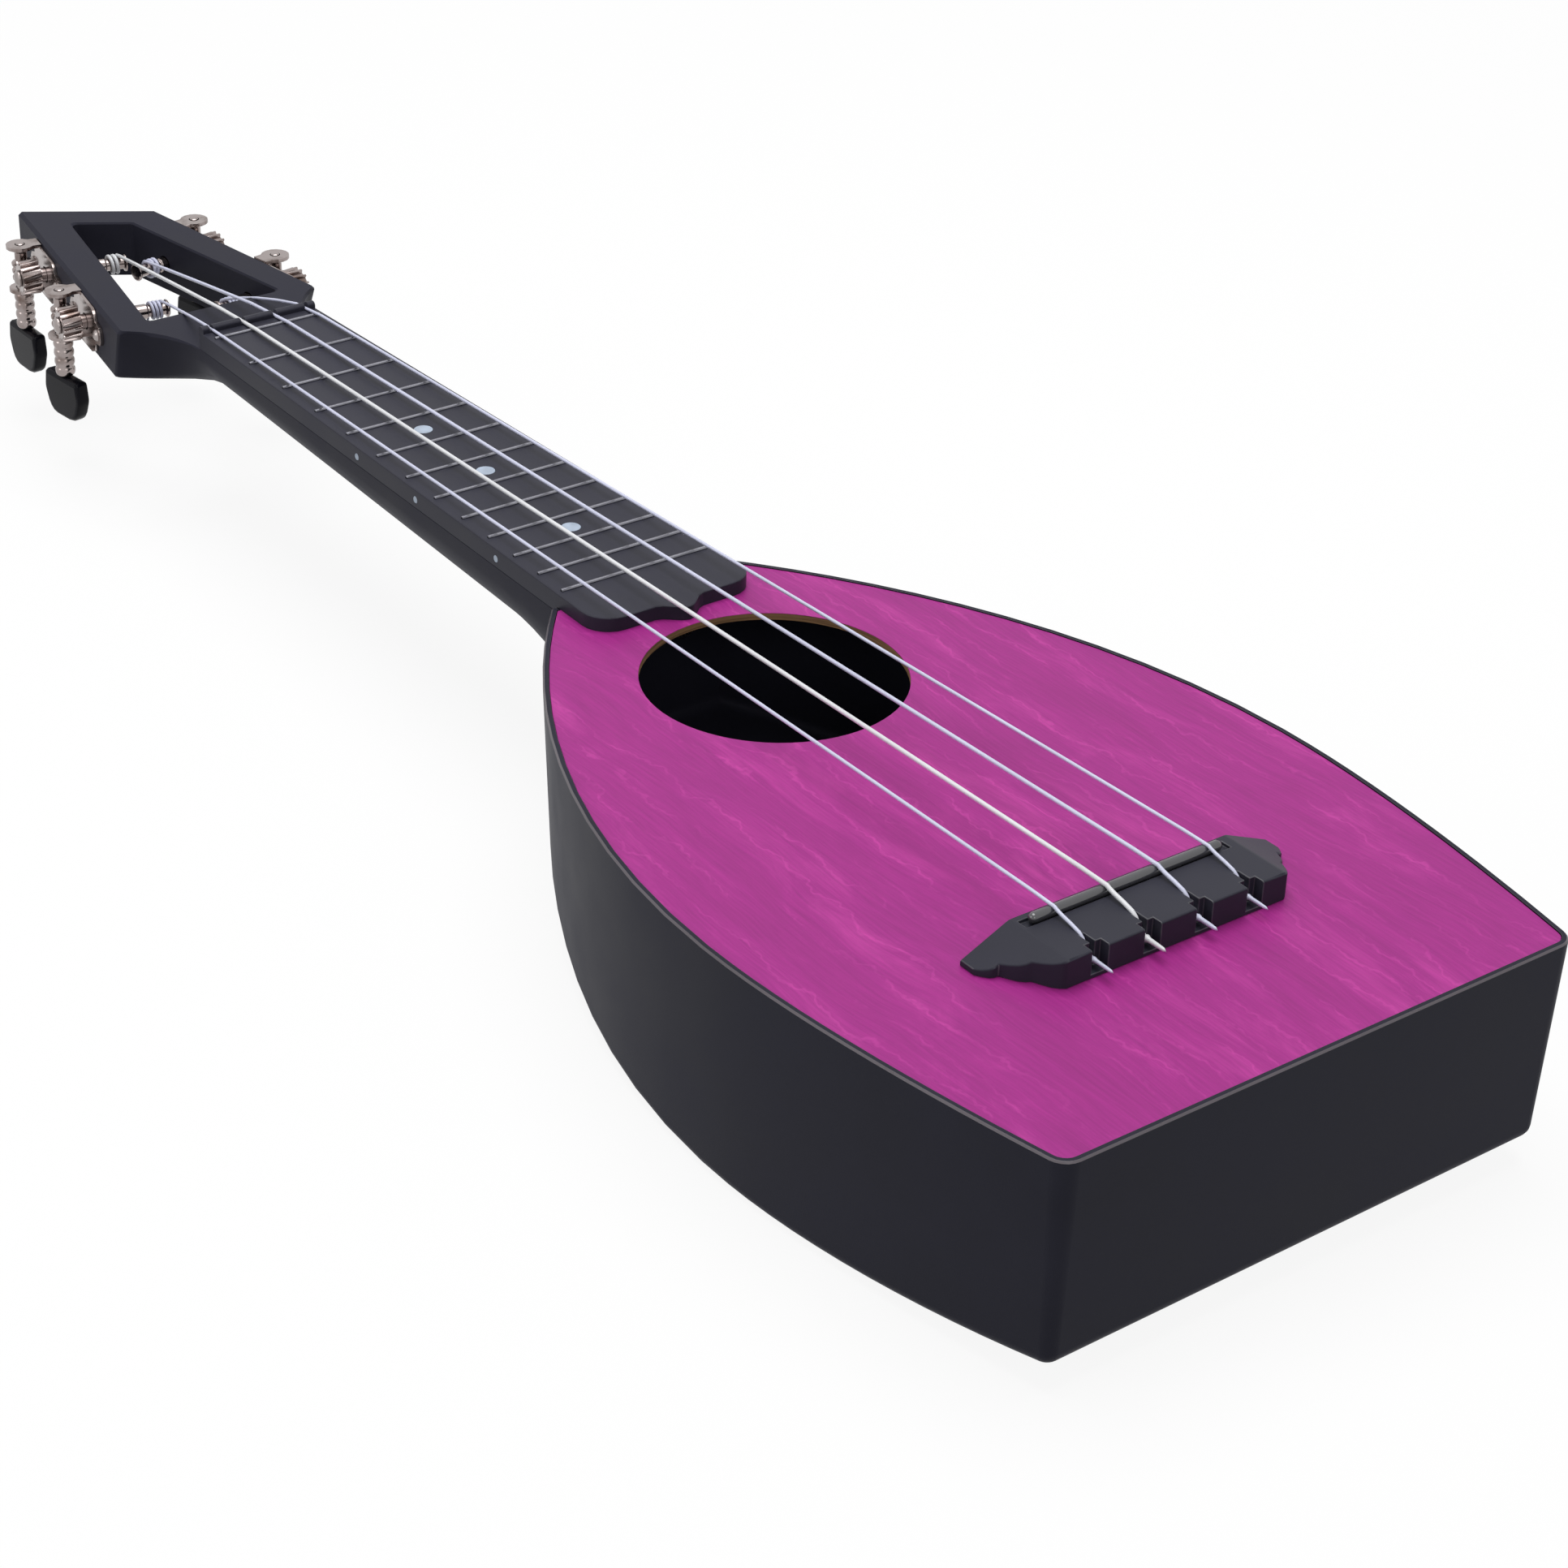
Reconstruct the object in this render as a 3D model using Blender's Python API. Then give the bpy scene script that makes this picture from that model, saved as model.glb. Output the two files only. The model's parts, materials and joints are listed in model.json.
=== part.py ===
"""Soprano ukulele with a moulded one-piece shell, a wooden top and a slotted headstock.

Metres, +Z out of the soundboard, +Y towards the headstock, +X to the right
of a player's view from the tail. The lowest point of the arched back is z = 0
and the middle of the overall length is y = 0.
"""
import math

import bmesh
import bpy
from mathutils import Matrix, Vector

# Lengths along the strings
TAIL_TO_SADDLE = 0.05875
SCALE_LENGTH = 0.346
FRET_COUNT = 12

# Plan of the body: half widths, where they lie from the saddle, and how the side runs there
TAIL_HALF = 0.0665
TAIL_LEAN = 0.210
TAIL_REACH = 0.02938
BOUT_HALF = 0.07822
BOUT_FROM_SADDLE = 0.03262
BOUT_REACH_LOW = 0.02718
BOUT_REACH_HIGH = 0.06278
SHOULDER_HALF = 0.0236
SHOULDER_SHORT_OF_TWELFTH = 0.00057
SHOULDER_LEAN = 0.714
SHOULDER_REACH = 0.03691
TAIL_CORNER = 0.0046

# Shell walls, rim and arched back
BACK_DEPTH = 0.0543
BACK_CREST_FROM_SADDLE = 0.03095
BACK_RADIUS = 0.615
SIDE_DRAFT = 0.00143
SIDE_WALL = 0.0026
BACK_WALL = 0.0028
BACK_FILLET = 0.00296
INNER_FILLET = 0.0025
RIM_WIDTH = 0.00135
RIM_PROUD = 0.00025
RIM_BEVEL = 0.0004
LEDGE_WIDTH = 0.0048
LEDGE_DEPTH = 0.003

# Soundboard, soundhole and the wood below it
BOARD_THICK = 0.0018
BOARD_FIT = 0.00012
GLUE_LINE = 0.00005
HOLE_FROM_SHOULDER = 0.05433
HOLE_RADIUS = 0.03036
BRACE_WIDTH = 0.006
BRACE_HEIGHT = 0.008
BRACE_FROM_HOLE = 0.009
UPPER_BRACE_HEIGHT = 0.0055
UPPER_BRACE_FROM_HOLE = 0.0132
BRACE_END_GAP = 0.001
PLATE_LENGTH = 0.070
PLATE_WIDTH = 0.026
PLATE_THICK = 0.002

# Fretboard, frets and position dots
FRETBOARD_OVER_BOARD = 0.0035
FRETBOARD_OVER_NECK = 0.0048
NUT_HALF = 0.0173
TWELFTH_HALF = 0.0220
FRETBOARD_PAST_NUT = 0.0068
FRETBOARD_OVER_BODY = 0.0178
FRETBOARD_CORNER = 0.007
BRACKET_HALF = 0.0068
BRACKET_DROP = 0.0041
EDGE_BREAK = 0.0004
FRET_SHORT_OF_EDGE = 0.0015
FRET_WIDTH = 0.0010
FRET_HEIGHT = 0.0006
TANG_WIDTH = 0.00044
TANG_DEPTH = 0.0012
TANG_FIT = 0.0001
RIDGE_WIDTH = 0.0025
RIDGE_HEIGHT = 0.0017
DOT_RADIUS = 0.0024
SIDE_DOT_RADIUS = 0.0009
SIDE_DOT_DROP = 0.0027
DOT_THICK = 0.0009
DOT_FIT = 0.0001
DOTTED_FRETS = (5, 7, 10)

# Neck and heel
NECK_THICK_AT_NUT = 0.0186
NECK_THICK_LOW = 0.0242
NECK_KNEE_PAST_SHOULDER = 0.0287
HEEL_THICK = 0.0395
NECK_SQUARENESS = 2.12
HEEL_SQUARENESS = 2.40
JOINT_GAP = 0.0003

# Slotted headstock
HEAD_THICK = 0.0160
FLARE_START_PAST_NUT = 0.004
HEAD_RISE = 0.0215
HEAD_SWEEP = 0.0059
HEAD_CORNER_PAST_NUT = 0.0275
HEAD_CORNER_HALF = 0.0305
HEAD_TAPER = 0.1645
HEAD_END_PAST_NUT = 0.1102
HEAD_END_SLANT = 0.580
HEAD_EDGE = 0.001
HEAD_BOTTOM_ROUND = 0.0010
SLOT_FRONT_PAST_NUT = 0.0313
SLOT_FRONT_HALF = 0.0202
SLOT_TAPER = 0.189
SLOT_END_PAST_NUT = 0.0990
SLOT_CORNER = 0.0016
SLOT_EDGE = 0.0005
STRING_RAMP = 0.0018

# Neck bolts
BOLT_RADIUS = 0.0020
BOLT_HEAD_RADIUS = 0.0034
BOLT_HEAD_THICK = 0.0028
BOLT_LENGTH = 0.010
BOLT_FIT = 0.0003
BOLT_DROP = 0.0109
BOLT_SPREAD = 0.009

# Bridge and saddle rod
BRIDGE_HALF = 0.0286
BRIDGE_FRONT = 0.0032
BRIDGE_BACK = 0.0150
BRIDGE_HEIGHT = 0.0065
WING_TIP = 0.0405
WING_TIP_HEIGHT = 0.0014
WING_FRONT = 0.0031
WING_STEPS = ((0.0405, 0.0012), (0.0368, 0.0042), (0.0328, 0.0093), (0.0287, 0.0150))
WING_BULGE = 0.0011
ROD_RADIUS = 0.00125
ROD_TOP_OVER_BOARD = 0.0083
ROD_LEFT = 0.0260
ROD_RIGHT = 0.0245
ROD_FIT = 0.0001
GROOVE_PAST_ROD = 0.0017
STRING_SLOT_WIDTH = 0.0013
STRING_SLOT_START = 0.0088
STRING_NOTCH_WIDTH = 0.0042
STRING_NOTCH_DEPTH = 0.0026
STRING_LEDGE = 0.0010
STRING_EXIT = 0.0028
STRING_TAIL_END = 0.0190

# Strings, from the left to the right
STRING_NAMES = ("g", "c", "e", "a")
STRING_RADIUS = {"g": 0.00033, "c": 0.00046, "e": 0.00040, "a": 0.00032}
NUT_SPREAD = 0.01441
SADDLE_SPREAD = 0.0204
STRING_LIFT = 0.0001
WINDING_LIFT = 0.0003
WINDING_TURNS = {"g": 3, "c": 2, "e": 2, "a": 3}
WINDING_GAP = 0.00045
POINTS_PER_TURN = 16

# Tuning machines
POST_DROP = 0.0067
PITCH_BETWEEN_POSTS = 0.0366
FIRST_POST_LEFT = 0.0545
FIRST_POST_RIGHT = 0.0455
POST_RADIUS = 0.0021
POST_FIT = 0.0003
POST_WAIST = 0.0017
POST_LENGTH = {"g": 0.0229, "c": 0.0229, "e": 0.0211, "a": 0.0211}
POST_COLLAR = 0.0004
WINDING_INSIDE = {"g": 0.0193, "c": 0.0192, "e": 0.0155, "a": 0.0164}
WAIST_PAST_WINDING = 0.0030
PLATE_METAL = 0.001
PLATE_HALF_LENGTH = 0.0135
PLATE_BODY_HALF = 0.0084
PLATE_BOTTOM = 0.0072
EAR_HALF = 0.0040
EAR_LINK_HALF = 0.0026
EAR_STEP = 0.0003
UPPER_EAR = 0.0074
LOWER_EAR = 0.0055
GEAR_TEETH = 14
GEAR_TIP = 0.0050
GEAR_ROOT = 0.0039
GEAR_START = 0.0030
GEAR_WIDTH = 0.0054
GEAR_BORE = 0.0015
WORM_TIP = 0.00275
WORM_ROOT = 0.00175
MESH_CLEARANCE = 0.00025
PIN_RADIUS = 0.0012
SHAFT_NECK = 0.0019
PIVOT_FIT = 0.00028
SHAFT_BEADS = 4
SHAFT_BEAD_RADIUS = 0.0028
SHAFT_WAIST_RADIUS = 0.0022
SHAFT_END = 0.0176
BUTTON_HALF = 0.00875
BUTTON_FOOT_HALF = 0.0062
BUTTON_TALL = 0.0125
BUTTON_THICK = 0.0042
BUTTON_TURN = {"g": -15.3, "c": -9.3, "e": 0.0, "a": 0.0}
STEM_DEPTH = 0.004
STEM_RADIUS = 0.0013

HEAD_LEFT_HALF = (HEAD_CORNER_HALF - HEAD_TAPER * (HEAD_END_PAST_NUT - HEAD_CORNER_PAST_NUT)) / (
    1 + HEAD_TAPER * HEAD_END_SLANT)
NUT_TO_LEFT_CORNER = HEAD_END_PAST_NUT + HEAD_END_SLANT * HEAD_LEFT_HALF
OVERALL_LENGTH = TAIL_TO_SADDLE + SCALE_LENGTH + NUT_TO_LEFT_CORNER
TAIL_Y = -OVERALL_LENGTH / 2
SADDLE_Y = TAIL_Y + TAIL_TO_SADDLE
NUT_Y = SADDLE_Y + SCALE_LENGTH
SHOULDER_Y = SADDLE_Y + SCALE_LENGTH / 2 - SHOULDER_SHORT_OF_TWELFTH
HOLE_Y = SHOULDER_Y - HOLE_FROM_SHOULDER
FRETBOARD_END_Y = SHOULDER_Y - FRETBOARD_OVER_BODY
KNEE_Y = SHOULDER_Y + NECK_KNEE_PAST_SHOULDER
RIDGE_Y = NUT_Y + FRETBOARD_PAST_NUT
FLARE_Y = NUT_Y + FLARE_START_PAST_NUT
CORNER_Y = NUT_Y + HEAD_CORNER_PAST_NUT
HEAD_END_Y = NUT_Y + HEAD_END_PAST_NUT
BOARD_Z = BACK_DEPTH
FRETBOARD_Z = BOARD_Z + FRETBOARD_OVER_BOARD
NECK_Z = FRETBOARD_Z - FRETBOARD_OVER_NECK
HEAD_Z = NECK_Z
WORM_AWAY = GEAR_TIP + WORM_ROOT + MESH_CLEARANCE
GEAR_PITCH_RADIUS = (GEAR_TIP + WORM_AWAY - WORM_TIP) / 2
WORM_PITCH = 2 * math.pi * GEAR_PITCH_RADIUS / GEAR_TEETH
GEAR_MIDDLE = GEAR_START + GEAR_WIDTH / 2
HEAD_LEAN = math.atan(HEAD_TAPER)

PLASTIC = ("black_plastic", (0.028, 0.028, 0.034), 0.45, 0.0)
WOOD = ("stained_veneer", (0.42, 0.03, 0.25), 0.5, 0.0)
SPRUCE = ("brace_wood", (0.55, 0.36, 0.18), 0.7, 0.0)
NICKEL = ("nickel", (0.72, 0.68, 0.62), 0.3, 1.0)
STEEL = ("steel", (0.5, 0.5, 0.5), 0.35, 1.0)
FRET_METAL = ("fret_metal", (0.75, 0.75, 0.77), 0.25, 1.0)
PEARL = ("pale_dot", (0.6, 0.68, 0.72), 0.4, 0.0)
NYLON = ("nylon", (0.78, 0.78, 0.88), 0.3, 0.0)


def clear_scene():
    for obj in list(bpy.data.objects):
        bpy.data.objects.remove(obj, do_unlink=True)


def get_material(finish):
    name, colour, roughness, metallic = finish
    made = bpy.data.materials.get(name)
    if made is None:
        made = bpy.data.materials.new(name)
        made.use_nodes = True
        shader = made.node_tree.nodes["Principled BSDF"]
        shader.inputs["Base Color"].default_value = (*colour, 1.0)
        shader.inputs["Roughness"].default_value = roughness
        shader.inputs["Metallic"].default_value = metallic
    return made


def finish_object(name, bm, finish, origin=(0, 0, 0), smooth=35):
    """Turn a bmesh given in the part's frame into a named object with its own origin."""
    origin = Vector(origin)
    bmesh.ops.translate(bm, verts=bm.verts, vec=-origin)
    bmesh.ops.recalc_face_normals(bm, faces=bm.faces)
    mesh = bpy.data.meshes.new(name)
    bm.to_mesh(mesh)
    bm.free()
    obj = bpy.data.objects.new(name, mesh)
    obj.location = origin
    bpy.context.scene.collection.objects.link(obj)
    if finish:
        mesh.materials.append(get_material(finish))
        mesh.shade_smooth()
        mesh.set_sharp_from_angle(angle=math.radians(smooth))
    return obj


def add_faces(bm, rings, first_cap=True, last_cap=True):
    """Skin a list of equal closed rings of points and close both ends."""
    loops = [[bm.verts.new(point) for point in ring] for ring in rings]
    count = len(loops[0])
    for near, far in zip(loops, loops[1:]):
        for i in range(count):
            j = (i + 1) % count
            bm.faces.new((near[i], near[j], far[j], far[i]))
    if first_cap:
        bm.faces.new(loops[0])
    if last_cap:
        bm.faces.new(loops[-1][::-1])
    return loops


def add_strips(bm, loop):
    """Close a ring that is alike left and right with strips across the width."""
    half = len(loop) // 2
    for i in range(half - 1):
        bm.faces.new((loop[i], loop[i + 1], loop[-2 - i], loop[-1 - i]))


def add_prism(bm, outline, low, high, frame=None):
    """Extrude a closed outline of (a, b) points from low to high along the third axis."""
    frame = frame or Matrix.Identity(4)
    bottom = [bm.verts.new(frame @ Vector((a, b, low))) for a, b in outline]
    face = bm.faces.new(bottom)
    grown = bmesh.ops.extrude_face_region(bm, geom=[face])
    lifted = [item for item in grown["geom"] if isinstance(item, bmesh.types.BMVert)]
    rise = frame.to_3x3() @ Vector((0, 0, high - low))
    bmesh.ops.translate(bm, verts=lifted, vec=rise)


def add_box(bm, low, high):
    sides = [(low[0], low[1]), (high[0], low[1]), (high[0], high[1]), (low[0], high[1])]
    add_prism(bm, sides, low[2], high[2])


def add_lathe(bm, profile, steps, frame):
    """Spin (radius, height) points about the frame's third axis; ends on the axis close it."""
    verts = [bm.verts.new(frame @ Vector((radius, 0, height))) for radius, height in profile]
    edges = [bm.edges.new(pair) for pair in zip(verts, verts[1:])]
    bmesh.ops.spin(bm, geom=verts + edges, cent=frame.translation, axis=frame.col[2].to_3d(),
                   angle=2 * math.pi, steps=steps, use_merge=True)
    bmesh.ops.remove_doubles(bm, verts=bm.verts, dist=1e-7)


def add_cylinder(bm, radius, low, high, steps, frame):
    rings = []
    for height in (low, high):
        rings.append([frame @ Vector((radius * math.cos(turn), radius * math.sin(turn), height))
                      for turn in (2 * math.pi * i / steps for i in range(steps))])
    add_faces(bm, rings)


def axis_frame(origin, axis):
    """A frame at origin whose third axis is the given direction."""
    turn = Vector((0, 0, 1)).rotation_difference(Vector(axis)).to_matrix().to_4x4()
    return Matrix.Translation(Vector(origin)) @ turn


def use_boolean(target, tool, operation="DIFFERENCE"):
    """Apply one EXACT Boolean with a helper that stays out of the render."""
    tool.hide_render = True
    tool.display_type = "WIRE"
    modifier = target.modifiers.new(operation.lower(), "BOOLEAN")
    modifier.operation = operation
    modifier.solver = "EXACT"
    modifier.object = tool


def circle(radius, steps, centre=(0, 0)):
    return [(centre[0] + radius * math.cos(2 * math.pi * i / steps),
             centre[1] + radius * math.sin(2 * math.pi * i / steps)) for i in range(steps)]


def inset(outline, distance):
    """Move each corner of a counter-clockwise outline inwards, keeping its sides parallel."""
    moved = []
    count = len(outline)
    for i, here in enumerate(outline):
        back = Vector(here) - Vector(outline[i - 1])
        ahead = Vector(outline[(i + 1) % count]) - Vector(here)
        first = Vector((-back.y, back.x)).normalized()
        second = Vector((-ahead.y, ahead.x)).normalized()
        middle = (first + second).normalized()
        moved.append(tuple(Vector(here) + middle * (distance / max(middle.dot(first), 0.4))))
    return moved


def round_corners(corners, radii, steps=4):
    """Replace each corner of a counter-clockwise outline with an arc of its own radius."""
    outline = []
    count = len(corners)
    for i, radius in enumerate(radii):
        here = Vector(corners[i])
        back = (Vector(corners[i - 1]) - here).normalized()
        ahead = (Vector(corners[(i + 1) % count]) - here).normalized()
        half = back.angle(ahead) / 2
        centre = here + (back + ahead).normalized() * (radius / math.sin(half))
        start = here + back * (radius / math.tan(half)) - centre
        turn = start.angle_signed(here + ahead * (radius / math.tan(half)) - centre)
        for k in range(steps + 1):
            angle = math.atan2(start.y, start.x) - turn * k / steps
            outline.append((centre.x + radius * math.cos(angle), centre.y + radius * math.sin(angle)))
    return outline


def bezier(points, t):
    """Point and outward normal of a cubic curve that runs up the right-hand side."""
    a, b, c, d = (Vector(point) for point in points)
    s = 1 - t
    place = a * s ** 3 + b * (3 * s * s * t) + c * (3 * s * t * t) + d * t ** 3
    along = (b - a) * (s * s) + (c - b) * (2 * s * t) + (d - c) * (t * t)
    along.normalize()
    return place, Vector((along.y, -along.x))


def side_curves():
    """The two cubics of the right side of the body, tail to shoulder."""
    bout_y = SADDLE_Y + BOUT_FROM_SADDLE
    tail = (TAIL_HALF, TAIL_Y)
    tail_pull = (TAIL_HALF + TAIL_REACH * math.sin(TAIL_LEAN), TAIL_Y + TAIL_REACH * math.cos(TAIL_LEAN))
    bout = (BOUT_HALF, bout_y)
    shoulder = (SHOULDER_HALF, SHOULDER_Y)
    shoulder_pull = (SHOULDER_HALF + SHOULDER_REACH * math.sin(SHOULDER_LEAN),
                     SHOULDER_Y - SHOULDER_REACH * math.cos(SHOULDER_LEAN))
    lower = (tail, tail_pull, (BOUT_HALF, bout_y - BOUT_REACH_LOW), bout)
    upper = (bout, (BOUT_HALF, bout_y + BOUT_REACH_HIGH), shoulder_pull, shoulder)
    return lower, upper


def side_point(t, distance):
    """Point of the side moved inwards by distance; t runs 0 to 2 from tail to shoulder."""
    lower, upper = side_curves()
    place, outward = bezier(lower, t) if t < 1 else bezier(upper, t - 1)
    return place - outward * distance, outward


def side_at(y, distance):
    """The t at which the moved side reaches y."""
    low, high = -0.1, 2.1
    for _ in range(40):
        middle = (low + high) / 2
        if side_point(middle, distance)[0].y < y:
            low = middle
        else:
            high = middle
    return (low + high) / 2


def half_outline(distance, end_distance, side_steps, corner_steps):
    """Right half of the body outline from the tail line to the neck end."""
    radius = max(TAIL_CORNER - distance, 0.0006)
    first = side_at(TAIL_Y + distance + radius, distance + radius)
    last = side_at(SHOULDER_Y - end_distance, distance)
    centre, outward = side_point(first, distance + radius)
    lean = math.atan2(outward.y, outward.x)
    points = []
    for k in range(corner_steps):
        angle = -math.pi / 2 + (lean + math.pi / 2) * k / corner_steps
        points.append((centre.x + radius * math.cos(angle), centre.y + radius * math.sin(angle)))
    for k in range(side_steps + 1):
        points.append(tuple(side_point(first + (last - first) * k / side_steps, distance)[0]))
    return points


def body_ring(distance, end_distance, height, side_steps=26, corner_steps=5):
    """Closed ring of the body at an inward distance; height is a number or a function of y."""
    right = half_outline(distance, end_distance, side_steps, corner_steps)
    plan = right + [(-x, y) for x, y in reversed(right)]
    return [(x, y, height(y) if callable(height) else height) for x, y in plan]


def back_height(y):
    """Height of the outside of the arched back above its lowest point."""
    away = y - SADDLE_Y - BACK_CREST_FROM_SADDLE
    return away * away / (2 * BACK_RADIUS)


def body_half_width(y, distance):
    return side_point(side_at(y, distance), distance)[0].x


def build_shell():
    """Open bowl with drafted sides, an arched back, a rim and a ledge for the soundboard."""
    rim = BOARD_Z + RIM_PROUD
    seat = BOARD_Z - BOARD_THICK - GLUE_LINE
    ledge = RIM_WIDTH + LEDGE_WIDTH
    inner = SIDE_DRAFT + SIDE_WALL
    rings = []
    for k in range(5):
        turn = math.pi / 2 * k / 4
        out = SIDE_DRAFT + BACK_FILLET * (1 - math.sin(turn))
        rise = BACK_FILLET * (1 - math.cos(turn))
        rings.append(body_ring(out, 0.0, lambda y, rise=rise: back_height(y) + rise))
    rings.append(body_ring(0.0, 0.0, rim - RIM_BEVEL))
    rings.append(body_ring(RIM_BEVEL, RIM_BEVEL, rim))
    rings.append(body_ring(RIM_WIDTH, RIM_WIDTH, rim))
    rings.append(body_ring(RIM_WIDTH, RIM_WIDTH, seat))
    rings.append(body_ring(ledge, ledge, seat))
    rings.append(body_ring(ledge, ledge, seat - LEDGE_DEPTH))
    rings.append(body_ring(inner - 0.0008, inner - 0.0008, seat - 2 * LEDGE_DEPTH))
    for k in range(4):
        turn = math.pi / 2 * (1 - k / 3)
        out = inner + INNER_FILLET * (1 - math.sin(turn))
        rise = BACK_WALL + INNER_FILLET * (1 - math.cos(turn))
        rings.append(body_ring(out, out, lambda y, rise=rise: back_height(y) + rise))
    bm = bmesh.new()
    loops = add_faces(bm, rings, first_cap=False, last_cap=False)
    add_strips(bm, loops[0])
    add_strips(bm, loops[-1])
    shell = finish_object("body_shell", bm, PLASTIC)
    cuts = bmesh.new()
    width = TWELFTH_HALF + 0.0007
    add_box(cuts, (-width, SHOULDER_Y - 0.0045, BOARD_Z - 0.0002), (width, SHOULDER_Y + 0.002, rim + 0.002))
    for centre in bolt_places():
        add_cylinder(cuts, BOLT_RADIUS + BOLT_FIT, -0.012, 0.004, 16, axis_frame(centre, (0, 1, 0)))
    use_boolean(shell, finish_object("shell_cuts", cuts, None))


def build_soundboard():
    """Thin wooden top that drops inside the rim and rests on the ledge."""
    distance = RIM_WIDTH + BOARD_FIT
    bm = bmesh.new()
    loops = add_faces(bm, [body_ring(distance, distance, BOARD_Z - BOARD_THICK),
                           body_ring(distance, distance, BOARD_Z)], False, False)
    add_strips(bm, loops[0])
    add_strips(bm, loops[-1])
    board = finish_object("soundboard", bm, WOOD)
    hole = bmesh.new()
    frame = Matrix.Translation((0, HOLE_Y, BOARD_Z))
    add_cylinder(hole, HOLE_RADIUS, -0.004, 0.004, 72, frame)
    use_boolean(board, finish_object("soundhole_cut", hole, None))


def build_brace(name, y, tall):
    """Cross brace under the soundboard with its ends pared away."""
    half = body_half_width(y + BRACE_WIDTH / 2, RIM_WIDTH + LEDGE_WIDTH) - BRACE_END_GAP
    top = BOARD_Z - BOARD_THICK - GLUE_LINE
    side = [(-half, top), (-half, top - 0.0025), (-half + 0.014, top - tall),
            (half - 0.014, top - tall), (half, top - 0.0025), (half, top)]
    bm = bmesh.new()
    add_prism(bm, side, -BRACE_WIDTH / 2, BRACE_WIDTH / 2, axis_on_y(y))
    finish_object(name, bm, SPRUCE)


def axis_on_y(y):
    """A frame whose outline lies in the XZ plane and whose depth runs back along Y."""
    return Matrix(((1, 0, 0, 0), (0, 0, -1, y), (0, 1, 0, 0), (0, 0, 0, 1)))


def build_top_wood():
    build_brace("lower_brace", HOLE_Y - HOLE_RADIUS - BRACE_FROM_HOLE, BRACE_HEIGHT)
    build_brace("upper_brace", HOLE_Y + HOLE_RADIUS + UPPER_BRACE_FROM_HOLE, UPPER_BRACE_HEIGHT)
    top = BOARD_Z - BOARD_THICK - GLUE_LINE
    middle = SADDLE_Y - (BRIDGE_BACK - BRIDGE_FRONT) / 2
    bm = bmesh.new()
    half, deep = PLATE_LENGTH / 2, PLATE_WIDTH / 2
    corners = [(-half, middle - deep), (half, middle - deep), (half, middle + deep),
               (-half, middle + deep)]
    add_prism(bm, round_corners(corners, [0.003] * 4, 3), top - PLATE_THICK, top)
    finish_object("bridge_plate", bm, SPRUCE)


def board_half(y):
    """Half width of the fretboard at y."""
    share = (NUT_Y - y) / (SCALE_LENGTH / 2)
    return NUT_HALF + (TWELFTH_HALF - NUT_HALF) * share


def fret_y(number):
    return SADDLE_Y + SCALE_LENGTH * 2 ** (-number / 12)


def fretboard_outline():
    """Counter-clockwise outline: square at the nut, round corners and a bracket at the body end."""
    end, top = FRETBOARD_END_Y, RIDGE_Y
    corners = [(board_half(end), end), (board_half(top), top), (-board_half(top), top),
               (-board_half(end), end)]
    outline = round_corners(corners, [FRETBOARD_CORNER, 0.0005, 0.0005, FRETBOARD_CORNER], 6)
    bracket = []
    for k in range(9):
        x = -BRACKET_HALF + 2 * BRACKET_HALF * k / 8
        bracket.append((x, end - BRACKET_DROP * (0.5 + 0.5 * math.cos(math.pi * x / BRACKET_HALF))))
    return outline + bracket


def fret_profile(width, height, tang, depth):
    """Section of a fret in its (length along the neck, height) plane."""
    half = width / 2
    crown = [(half, 0.00005), (half, height * 0.35), (half * 0.6, height * 0.85), (0, height),
             (-half * 0.6, height * 0.85), (-half, height * 0.35), (-half, 0.00005)]
    return [(tang / 2, -depth), (tang / 2, 0.00005)] + crown + [(-tang / 2, 0.00005), (-tang / 2, -depth)]


def across_frame(y, z):
    """A frame whose outline lies in the YZ plane and whose depth runs along X."""
    return Matrix(((0, 0, 1, 0), (1, 0, 0, y), (0, 1, 0, z), (0, 0, 0, 1)))


def build_frets():
    for number in range(FRET_COUNT + 1):
        y = fret_y(number)
        half = board_half(y) - FRET_SHORT_OF_EDGE
        bm = bmesh.new()
        add_prism(bm, fret_profile(FRET_WIDTH, FRET_HEIGHT, TANG_WIDTH, TANG_DEPTH), -half, half,
                  across_frame(y, FRETBOARD_Z))
        finish_object(f"fret_{number:02d}" if number else "zero_fret", bm, FRET_METAL, (0, y, FRETBOARD_Z))


def dot_y(fret):
    """Dots sit midway between a fret and the one before it."""
    return (fret_y(fret) + fret_y(fret - 1)) / 2


def build_dots():
    for fret in DOTTED_FRETS:
        y = dot_y(fret)
        bm = bmesh.new()
        add_cylinder(bm, DOT_RADIUS, -DOT_THICK, 0.00002, 20, Matrix.Translation((0, y, FRETBOARD_Z)))
        finish_object(f"top_dot_{fret:02d}", bm, PEARL, (0, y, FRETBOARD_Z))
        bm = bmesh.new()
        edge = (-board_half(y), y, FRETBOARD_Z - SIDE_DOT_DROP)
        add_cylinder(bm, SIDE_DOT_RADIUS, -DOT_THICK, 0.00002, 12, axis_frame(edge, (-1, 0, 0)))
        finish_object(f"side_dot_{fret:02d}", bm, PEARL, edge)


def string_spread(index, spread):
    return spread * (2 * index / 3 - 1)


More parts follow.
